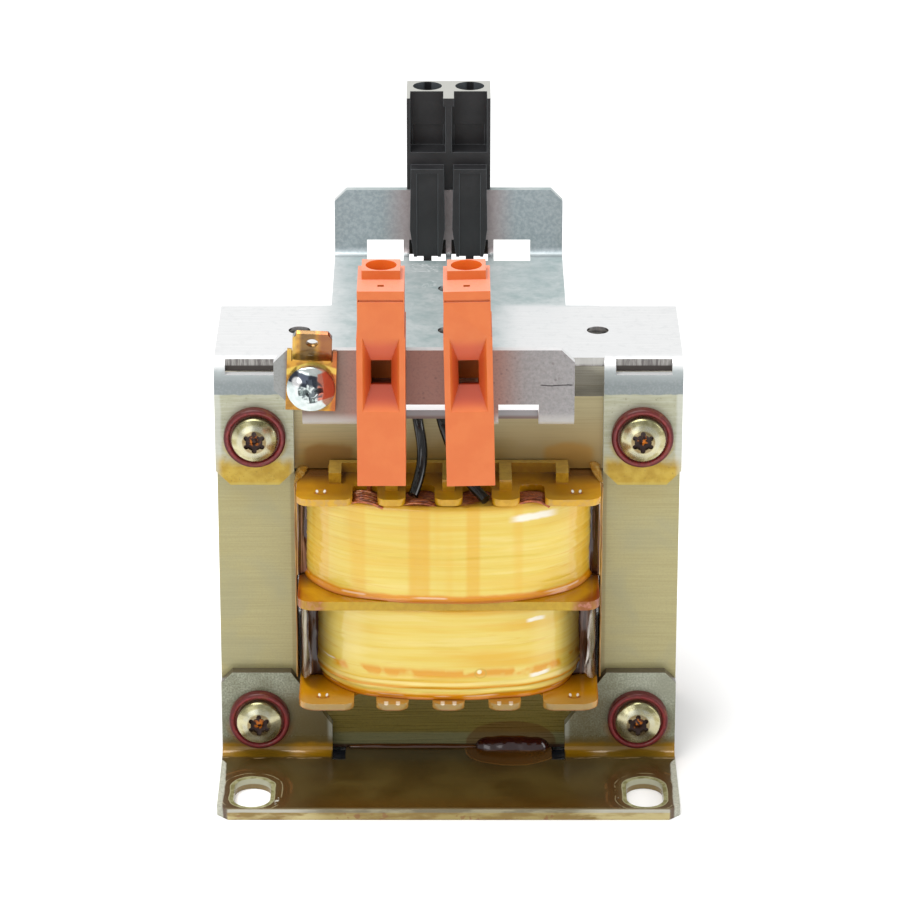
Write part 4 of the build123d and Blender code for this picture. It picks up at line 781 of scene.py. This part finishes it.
def bobbin_look(f):
    """Varnished amber moulding: honey-coloured plates, brown next to the core, beige front faces with a glow
    of orange along the edges, and red-brown rings and pale glints at the dimples."""
    x, y, z = f.xyz
    up, front = f.facing(2), abs(f.facing(1))
    across, away = abs(x), abs(y)
    cloud = f.noise(0.14, 4, 0.5, warp=0.6)
    fine = f.noise(0.8, 3, 0.6)
    plate = f.blend(cloud.rise(0.35, 0.65), (202, 144, 12), (174, 118, 8))
    plate.over(z.rise(17, 19) * away.rise(21, 15) * (0.55 + 0.4 * across.rise(14, 22)), 88, 50, 18)
    plate.over(away.rise(23.6, 25.8) * z.rise(17, 19) * 0.5, 210, 156, 14)
    plate.over(z.rise(17.6, 17) * 0.6, 214, 146, 10)
    plate.over(z.rise(17.6, 17) * away.rise(21.5, 25) * 0.8, 190, 144, 66)
    # Front faces
    faces = f.blend(fine.rise(0.3, 0.7), (222, 172, 38), (206, 156, 22))
    faces.over(across.rise(11, 17) * fine.rise(0.4, 0.65) * 0.4, 198, 164, 112)
    middle = z.band(33.6, 35.4, 0.05)
    faces.over(middle, f.blend(fine.rise(0.3, 0.7), (196, 158, 22), (184, 146, 12)))
    bottom = z.rise(17, 16.3)
    faces.over(bottom, f.blend(cloud.rise(0.4, 0.6), (170, 136, 66), (164, 136, 80)))
    colour = f.blend(front.rise(0.35, 0.8) * away.rise(25.2, 26), plate, faces)
    lip = front.band(0.15, 0.45, 0.12) * away.rise(24.5, 25.8)
    colour.over(lip * 0.6, f.blend(bottom, (206, 138, 46), (192, 146, 84)))
    tooth = across.least(abs(across - 9.55)) - 1
    glint = f.length(tooth, (z - 16.4) * 1.6).rise(0.44, 0.22) * away.rise(25, 25.5)
    colour.over(glint * z.rise(17.2, 16.8) * 0.8, 250, 240, 220)
    end = middle * (across + 0.8 * away).rise(41, 43.5) * (0.4 + 0.6 * cloud.rise(0.35, 0.55))
    colour.over(end * 0.85, 136, 54, 8)
    # Painted highlights: pink spots on the front faces of the red-brown ends
    colour.over(end * front.rise(0.3, 0.7) * fine.rise(0.5, 0.62) * 0.5, 206, 140, 120)
    colour.over(middle * across.rise(24.4, 25.2) * (0.3 + 0.5 * away.rise(18, 23)), 132, 46, 20)
    red_rim = across.rise(24.9, 25.4).most(z.rise(15.5, 15.2) * front.rise(0.4, 0.7)) * bottom
    colour.over(red_rim * (0.15 + 0.45 * away.rise(16, 23)), 150, 60, 24)
    # Ribs and walls
    ribs = f.blend(fine.rise(0.35, 0.65), (196, 150, 34), (170, 124, 22))
    walls = away.rise(22.6, 22.2) * z.rise(LUG_TOP + 0.1, LUG_TOP + 0.3).most(z.rise(15.1, 14.9))
    colour.over(walls, ribs)
    colour.over(walls * front.rise(0.6, 0.9) * away.rise(15.5, 14.8) * 0.7, 150, 104, 26)
    # Painted highlight: the walls' upward faces paler
    colour.over(walls * up.rise(0.6, 0.9) * 0.3, 206, 184, 112)
    # Dimples
    dx, dy = across - 21.3, away - 22.8
    floor = up.rise(0.2, 0.6) * middle.rise(0.5, 0)
    halo = f.length(dx, (dy - 0.55) * 1.5).rise(1.35, 0.85) * (1 - f.length(dx, dy * 1.2).rise(0.75, 0.45))
    colour.over(halo * floor * 0.85, 150, 62, 4)
    glints = f.length(abs(dx) - 0.63, (dy + 0.45) * 0.5).rise(0.27, 0.16)
    colour.over(glints * floor, 255, 250, 236)
    colour.over(z.band(16.5, 52.5, 0.1) * away.rise(15.5, 15) * 0.7, 90, 56, 20)
    rough = 0.1 + 0.16 * fine + 0.16 * front * away.rise(25.8, 26.2) * z.rise(17, 18)
    return f.finish(colour, rough, (cloud * 1.2 + fine * 0.25, 0.25, 0.08), Coat_Weight=0.3,
                    Specular_IOR_Level=0.3, Subsurface_Weight=0.12, Subsurface_Radius=(0.004, 0.0018, 0.0006))


def copper_look(f):
    """Enamelled copper wire under varnish, reddish brown with bright turns."""
    turn = f.noise(1.6, 3, 0.6, stretch=(0.5, 2.2, 1))
    colour = f.blend(turn.rise(0.34, 0.64), (196, 104, 50), (120, 52, 24))
    colour.over(f.noise(0.5).rise(0.52, 0.66) * 0.6, 216, 142, 80)
    return f.finish(colour, 0.2 + 0.2 * turn, Metallic=0.45, Coat_Weight=0.5)


def tape_look(f):
    """Pale yellow polyester tape in varnish. Streaks run round the coil, soft amber bands stand upright where
    layers end, and the varnish has gathered in an orange line along the lower edge."""
    x, y, z = f.xyz
    across, near = abs(x), y.rise(-15, -20)
    upper = z.rise(34.2, 34.8)
    low, high = 16.44 + 18.9 * upper, 33.6 + 18.9 * upper
    foot, head = z - low, high - z
    wide = f.noise(1, 3, 0.5, stretch=(0.035, 0.035, 0.34), shift=(0, 0, 4))
    thin = f.noise(1, 3, 0.6, stretch=(0.03, 0.03, 1.2))
    hair = abs(f.wander(1, 2, 0.5, stretch=(0.02, 0.02, 0.55), shift=(2, 1, 0))).rise(0.014, 0)
    upright = f.noise(1, 2, 0.5, stretch=(0.16, 0.16, 0.006), shift=(5, 3, 0))
    pale = f.blend(thin.rise(0.36, 0.66) * 0.8, (237, 212, 104), (233, 202, 76))
    colour = f.blend(wide.rise(0.48, 0.66) * (0.8 - 0.45 * upper), pale, (234, 184, 48))
    colour.over(wide.rise(0.44, 0.34) * 0.5, 244, 222, 132)
    colour.over(upright.rise(0.52, 0.62) * upper * 0.5, 234, 182, 50)
    bands = x.band(-6.2, -3.6, 0.9).most(x.band(3.4, 4.8, 0.8)) * upper * near
    colour.over(bands * 0.6, 232, 176, 40)
    colour.over(hair * (0.15 + 0.35 * across.rise(8, 20)), 224, 164, 34)
    ends = across.rise(18, 24)
    colour.over(ends * (0.12 + 0.13 * upper + 0.35 * thin.rise(0.42, 0.6)), 226, 172, 40)
    # Varnish along the edges
    swirl = abs(foot + 0.9 * f.wander(0.12, warp=1) - 5.2)
    colour.over((1 - upper) * swirl.rise(1.2, 0.2) * f.noise(0.25, 2).rise(0.4, 0.52) * 0.9, 230, 158, 10)
    for at, *tint in ((3.3, 248, 226, 138), (2.55, 224, 150, 8), (2, 248, 226, 130)):
        line = abs(foot + 0.5 * f.wander(0.07, 2, shift=(at, 0, 0)) - at).rise(0.42, 0.12)
        colour.over((1 - upper) * line * 0.85, *tint)
    colour.over((foot + 0.5 * f.wander(0.3, 2)).rise(1.55, 0.85), 228, 148, 6)
    colour.over(foot.rise(0.55, 0.1), 196, 112, 4)
    colour.over((head + 0.7 * f.wander(0.2, 2)).rise(1.3, 0.3) * 0.6, 230, 172, 46)
    colour.over(f.facing(2).rise(0.5, 0.9) * f.noise(0.2).rise(0.4, 0.62) * 0.7, 196, 130, 20)
    # Painted light: the lower wrap paler round its corners, where its surface turns away from the lamps
    turned = (1 - upper) * across.band(16, 21, 3) * foot.rise(5, 8)
    colour.over(turned * 0.3, 255, 236, 150)
    # Painted highlights, and a drop of varnish
    for at_x, at_z, half, tall in ((14.2, 50.2, 4.6, 0.85), (14.7, 30.8, 1.9, 0.5), (15.4, 20.6, 2.1, 0.5),
                                   (-20.4, 21.9, 1.4, 0.2)):
        level = z - at_z - 0.05 * (x - at_x) + 0.5 * f.wander(0.35, 2, shift=(at_x, 0, 0))
        shine = abs(level).rise(tall, tall * 0.35) * abs(x - at_x).rise(half, half * 0.45)
        colour.over(shine * near, 255, 250, 232)
    # A drop of varnish, drawn as a darker ring, with a painted highlight at its middle
    drop = f.length(x - 5.4, (z - 21.6) * 1.15)
    colour.over(abs(drop - 0.95).rise(0.22, 0.08) * near * 0.6, 206, 168, 50)
    colour.over(f.length(x - 5.2, z - 21.9).rise(0.5, 0.25) * near * 0.8, 255, 252, 216)
    # Painted highlight along the bead at the lower edge
    foot_light = abs(foot - 0.75).rise(0.22, 0.08) * y.rise(-14, -18) * f.noise(0.12, 1).rise(0.45, 0.52)
    colour.over(foot_light * 0.6, 255, 226, 190)
    relief = thin * 0.35 + wide * 0.6 + hair * -0.3
    return f.finish(colour, 0.12 + 0.14 * thin, (relief, 0.35, 0.12), Coat_Weight=0.4, Coat_Roughness=0.05,
                    Specular_IOR_Level=0.35)


def film_look(f):
    """Clear film and set varnish: streaked grey and brown beside the lower winding, golden along the legs,
    dark red-brown where the varnish is thick."""
    x, y, z = f.xyz
    across, away = abs(x), abs(y)
    streak = f.noise(1, 4, 0.65, stretch=(1.1, 0.35, 0.05), warp=0.4)
    fine = f.noise(1, 3, 0.6, stretch=(3, 1, 0.12))
    colour = f.blend(streak.rise(0.42, 0.58), (58, 36, 30), (208, 200, 192))
    colour.over(fine.rise(0.52, 0.66) * 0.6, 120, 78, 50)
    colour.over(z.rise(22, 17.5) * 0.75, 140, 88, 24)
    # Along the legs
    leg = across.rise(25.45, 25.6)
    edge = f.blend(fine.rise(0.4, 0.65), (206, 158, 80), (150, 96, 44))
    colour.over(leg, edge)
    flap = z.rise(52.9, 53.2)
    gold = f.blend(f.noise(0.8, 4, 0.6, warp=1.5).rise(0.5, 0.66), (188, 132, 40), (230, 196, 120))
    colour.over(flap, gold)
    # Beside the windings
    gap = away.rise(16.6, 16.3) * across.rise(25.5, 25.3) * across.rise(20.2, 20.5) * z.rise(52.9, 52.6)
    beam = f.noise(1, 3, 0.6, stretch=(1.6, 0.5, 0.04), shift=(3, 0, 0))
    gap_colour = f.blend(beam.rise(0.52, 0.64), (56, 26, 16), (170, 130, 112))
    gap_colour.over(z.rise(34.8, 34.2) * 0.6, 78, 40, 18)
    thick = gap * away.rise(14, 14.1)
    colour.over(thick, gap_colour)
    # In the bolts' recesses and the feet's folds
    deep = abs(across - BOLT_X).rise(3, 2.5) * y.rise(-16.4, -16.7)
    # Painted glints: orange spots at the middle of each recess's dark varnish
    spark = f.noise(1.3, 2, warp=0.5).rise(0.5, 0.6) * f.from_bolt().rise(1.25, 0.5)
    colour.over(deep, f.blend(spark, (44, 12, 2), (214, 116, 8)))
    drip = z.rise(9, 8) * across.rise(30, 28)
    fat = f.length(y + 14.2, z - 3.2).rise(0.9, 2)
    colour.over(drip, f.blend(fat, (50, 16, 12), (120, 74, 14)))
    # Painted shade: the sheets in the bend reliefs painted dark blue-grey
    relief = z.rise(1.75, 1.6)
    colour.over(drip * relief, 46, 52, 60)
    clear = (1 - deep) * (1 - drip) * (1 - thick)
    alpha = 1 - clear * (0.42 * flap + 0.1)
    return f.finish(colour, 0.1 + 0.12 * fine + 0.25 * deep, (streak * 0.5 + fine * 0.3, 0.25, 0.08),
                    Coat_Weight=0.5 - 0.5 * deep, Alpha=alpha, Specular_IOR_Level=0.35)


def orange_look(f):
    """Satin orange nylon: its upward faces are painted paler as highlight, and its wire entries painted darker
    and redder as shade.
    """
    x, y, z = f.xyz
    up = f.facing(2)
    cloud, fine = f.noise(0.25), f.noise(4, 3, 0.6)
    colour = f.blend(cloud.rise(0.35, 0.65), (219, 113, 48), (215, 107, 42))
    across = abs(x + 10.65).least(abs(x - 3.15))
    # Painted shade: the wire entries darker and redder, darkest down the holes
    entry = across.rise(3.5, 3.2) * abs(z - 85.9).rise(6.6, 6.2) * y.rise(-46, -46.5)
    colour.over(entry * y.rise(-52.6, -51.3) * 0.9, 206, 82, 36)
    colour.over(entry * up.rise(0.1, 0.5) * y.rise(-52.6, -51) * 0.75, 172, 58, 22)
    hole = across.rise(2.2, 1.9) * abs(z - 85.4).rise(2.6, 2.2) * y.rise(-49.6, -49.2)
    colour.over(hole * y.rise(-44, -45), 112, 34, 20)
    bore = across.rise(2.7, 2.55) * abs(y + 44.4).rise(2.7, 2.55) * abs(up).rise(0.3, 0.1)
    colour.over(bore, 255, 124, 40)
    # Painted highlight: the top faces paler
    colour.over(up.rise(0.6, 0.95) * z.rise(92, 94), 230, 142, 112)
    rough = 0.34 + 0.16 * fine
    return f.finish(colour, rough, (fine, 0.08, 0.03), Subsurface_Weight=0.1,
                    Subsurface_Radius=(0.003, 0.001, 0.0004))


def black_look(f):
    """Black nylon whose upward faces catch the light, painted paler; its slanted faces and edges carry a
    painted bluish-grey highlight.
    """
    z = f.z
    up = f.facing(2)
    cloud, fine = f.noise(0.3), f.noise(5, 3, 0.6)
    colour = f.blend(cloud.rise(0.3, 0.7), (36, 36, 38), (24, 24, 26))
    # Painted highlight: bluish grey on slanted faces and edges
    slant = f.facing(1).band(-0.85, -0.25, 0.1).most(abs(f.facing(0)).band(0.3, 0.9, 0.08))
    colour.over(slant * 0.6, 96, 102, 106)
    # Painted sheen: paler patches on the upward faces below the top
    upward_sheen = up.rise(0.5, 0.8) * z.rise(89, 88) * f.noise(1.2).rise(0.4, 0.6)
    colour.over(upward_sheen * 0.6, 150, 152, 152)
    colour.over(up.rise(0.8, 0.97) * z.rise(99, 100.5), 168, 168, 162)
    colour.over(fine.rise(0.58, 0.72) * 0.2, 66, 68, 72)
    colour.over(z.rise(87, 85) * (1 - slant) * 0.5, 18, 18, 20)
    return f.finish(colour, 0.3 + 0.2 * fine, (fine, 0.1, 0.03))


def metal_look(f, bright, dark):
    """Plain plated metal with faint patches, for parts inside the terminals. The left terminal's parts are
    painted dark as shade, and the right's made less metallic so that their pale colour shows as if lit.
    """
    x, y = f.x, f.y
    patch, fine = f.noise(0.8), f.noise(3, stretch=(0.4, 1, 1))
    colour = f.blend(patch.rise(0.35, 0.68), bright, dark)
    # Painted shade on the left terminal's parts, and painted light on the right's, which are made less metallic
    colour.over(x.rise(-2, -6) * y.rise(-40, -44) * 0.7, 70, 40, 34)
    seen = x.rise(-2, 1) * y.rise(-40, -44)
    return f.finish(colour, 0.25 + 0.15 * fine, (fine, 0.15, 0.03), Metallic=0.9 - 0.8 * seen)


def tab_look(f):
    """Brass in varnish: amber and brown bands down the blade, a red glow from the terminal on its right."""
    x, z = f.x, f.z
    side = x - EARTH_X - 0.042 * (z - EARTH_Z)
    cloud = f.noise(0.55, 3, 0.5, warp=0.8)
    fine = f.noise(3)
    colour = f.blend(cloud.rise(0.36, 0.64), (206, 150, 44), (160, 110, 26))
    blade = z.rise(84.4, 85.2)
    colour.over(blade * side.band(-1.6, 0.2, 0.7) * 0.8, 92, 64, 14)
    colour.over(blade * side.rise(0.4, 1.6) * 0.85, 140, 74, 30)
    colour.over(blade * side.rise(-2.2, -2.9) * 0.7, 222, 182, 78)
    colour.over(side.rise(2.8, 3.6) * z.rise(86.5, 85.5) * 0.7, 186, 88, 34)
    # Painted highlight: a pale band across the fold at the blade's foot
    colour.over((z + 0.3 * abs(side)).band(83.6, 84.3, 0.35) * 0.7, 238, 206, 90)
    chip = f.length(side + 3, z - 90.2).rise(0.55, 0.25)
    colour.over(chip, 52, 44, 36)
    return f.finish(colour, 0.14 + 0.14 * fine, (cloud * 0.8 + fine * 0.2, 0.3, 0.06), Metallic=0.8,
                    Coat_Weight=0.5)


def zinc_look(f):
    """Bright zinc that mirrors its surroundings: a dark band above, pale green-white below, red on the
    right."""
    x, z = f.x, f.z
    dx, dz = x - EARTH_X, z - EARTH_Z
    bend = 0.6 * f.wander(0.45, 2, warp=0.8)
    reach = f.length(dx, dz)
    colour = f.blend(f.noise(0.9).rise(0.35, 0.65), (226, 234, 232), (204, 216, 214))
    colour.over((dz + bend + 0.25 * dx).band(0.7, 2.5, 0.25) * dx.rise(1.5, 0.9), 62, 68, 80)
    colour.over((dx + bend).rise(0.9, 1.3) * (dz - dx * 0.2).band(-1.7, 2.4, 0.3), 214, 134, 114)
    colour.over(f.length(dx + 2.2, dz - 1.5).rise(0.95, 0.6), 252, 252, 252)
    # Painted shade in the recess
    inside = reach.rise(2.2, 1.9)
    colour.over(inside * f.noise(0.8, 2, warp=1.2).rise(0.42, 0.56) * 0.85, 70, 78, 86)
    return f.finish(colour, 0.12, Metallic=0.85)


def sleeving_look(f):
    fine = f.noise(0.9)
    colour = f.blend(fine.rise(0.35, 0.7), (11, 10, 9), (24, 22, 19))
    return f.finish(colour, 0.1 + 0.06 * fine, (fine, 0.05, 0.1), Coat_Weight=0.2, Specular_IOR_Level=0.35)


LOOKS = {slot: look(Finish(slot), *colours) for slot, look, *colours in (
    ("lamination_steel", lamination_look), ("bracket_steel", bracket_look), ("foot_steel", foot_look),
    ("bolt_steel", head_look), ("nut_steel", nut_look), ("washer_fibre", washer_look),
    ("sleeve_plastic", sleeve_look), ("bobbin_plastic", bobbin_look), ("winding_copper", copper_look),
    ("tape", tape_look), ("film", film_look), ("orange_plastic", orange_look), ("black_plastic", black_look),
    ("clamp_steel", metal_look, (196, 194, 190), (160, 156, 150)),
    ("contact_brass", metal_look, (255, 226, 200), (196, 150, 116)),
    ("earth_brass", tab_look), ("bright_zinc", zinc_look), ("black_sleeving", sleeving_look))}

make_camera()
make_stage()

slots = {entry["node"]: entry["material_slot"] for entry in frame["record"]["subparts"]}
for name, slot in slots.items():
    nodes[name].data.materials.clear()
    nodes[name].data.materials.append(LOOKS[slot])

# CAD pieces with rounded edges
EDGES = {
    "top_bracket": 0.10, "front_foot_bracket": 0.16, "rear_foot_bracket": 0.16, "bobbin": 0.26,
    "orange_terminal_housing_left": 0.13, "orange_terminal_housing_right": 0.13,
    "black_terminal_housing": 0.11, "earth_tab": 0.07, "core_bolt_nuts": 0.08, "earth_nut": 0.08,
    "front_insulating_washers": 0.12, "rear_insulating_washers": 0.12}
for name, width in EDGES.items():
    eased(name, width, slots[name])

# Tape and windings
mount_piece(tape_wrap("upper_tape", UPPER_COIL, 4, [(7.5, 0.06, 0.25), (10.2, 0.05, 0.2)], 0.0), "tape",
            "upper_tape_wrap")
mount_piece(tape_wrap("lower_tape", LOWER_COIL, 9, [(1.2, 0.22, 0.35), (2.5, 0.20, 0.4), (3.9, 0.15, 0.35)],
                      1.1), "tape", "lower_tape_wrap")
mount_piece(wound_coil("upper_turns", UPPER_COIL, 0.6, 0.78), "winding_copper", "upper_winding")
mount_piece(wound_coil("lower_turns", LOWER_COIL, 0.6, 2.0), "winding_copper", "lower_winding")
mount_piece(notch_strands(), "winding_copper")

# Leads: the same points as the solids'
LEADS = {
    "black_lead_left": [
        (-3.75, 43.39, 69.8), (-3.5, 30.48, 69.6), (-4.5, 13.01, 69.9), (-5.5, -3.49, 69.7),
        (-5.8, -13.5, 69.4), (-5.31, -18.7, 66), (-4.2, -19.6, 60), (-4.8, -21.4, 55.6), (-5.9, -23.6, 53.4)],
    "black_lead_right": [
        (3.75, 43.39, 69.8), (2.9, 30.48, 69.9), (1.2, 13.01, 69.6), (-0.91, -3.49, 69.8),
        (-1.9, -13.5, 69.4), (-1.57, -18.62, 66.2), (0.4, -20, 60.6), (2.62, -21.59, 55.6), (6.2, -25.4, 53.4)],
    "copper_lead_left": [
        (-10.65, -47.99, 71.15), (-10.86, -41.5, 70.35), (-11.25, -34.49, 66.9), (-12.35, -27.4, 62.6),
        (-13.07, -21.9, 57.41), (-13.25, -20.5, 52.95)],
    "copper_lead_right": [
        (3.5, -47.99, 71.15), (3.89, -41.5, 70.24), (3.72, -34.49, 66.69), (4.31, -27.4, 62.6),
        (4.4, -21.9, 57.41), (4.4, -20.5, 52.95)]}
for name, points in LEADS.items():
    mount_piece(lead_curve(name + "_smooth", [points], 0.9 if "black" in name else 0.45), slots[name], name)

# Films and varnish, and sheets of painted shade in the bend reliefs
mount_piece(leg_films(), "film", "leg_insulation_films")
mount_piece(side_films(), "film", "winding_side_films")
for piece in (film_flaps(), gap_varnish(), recess_varnish(), relief_shade_sheets(),
              varnish_run("varnish_run_thick", 4.6, 17.4, 1.75, 3),
              varnish_run("varnish_run_thin", -17.2, 4.9, 0.42, 8),
              varnish_run("varnish_run_rear", -16.0, 16.5, 0.8, 5, 1)):
    mount_piece(piece, "film")
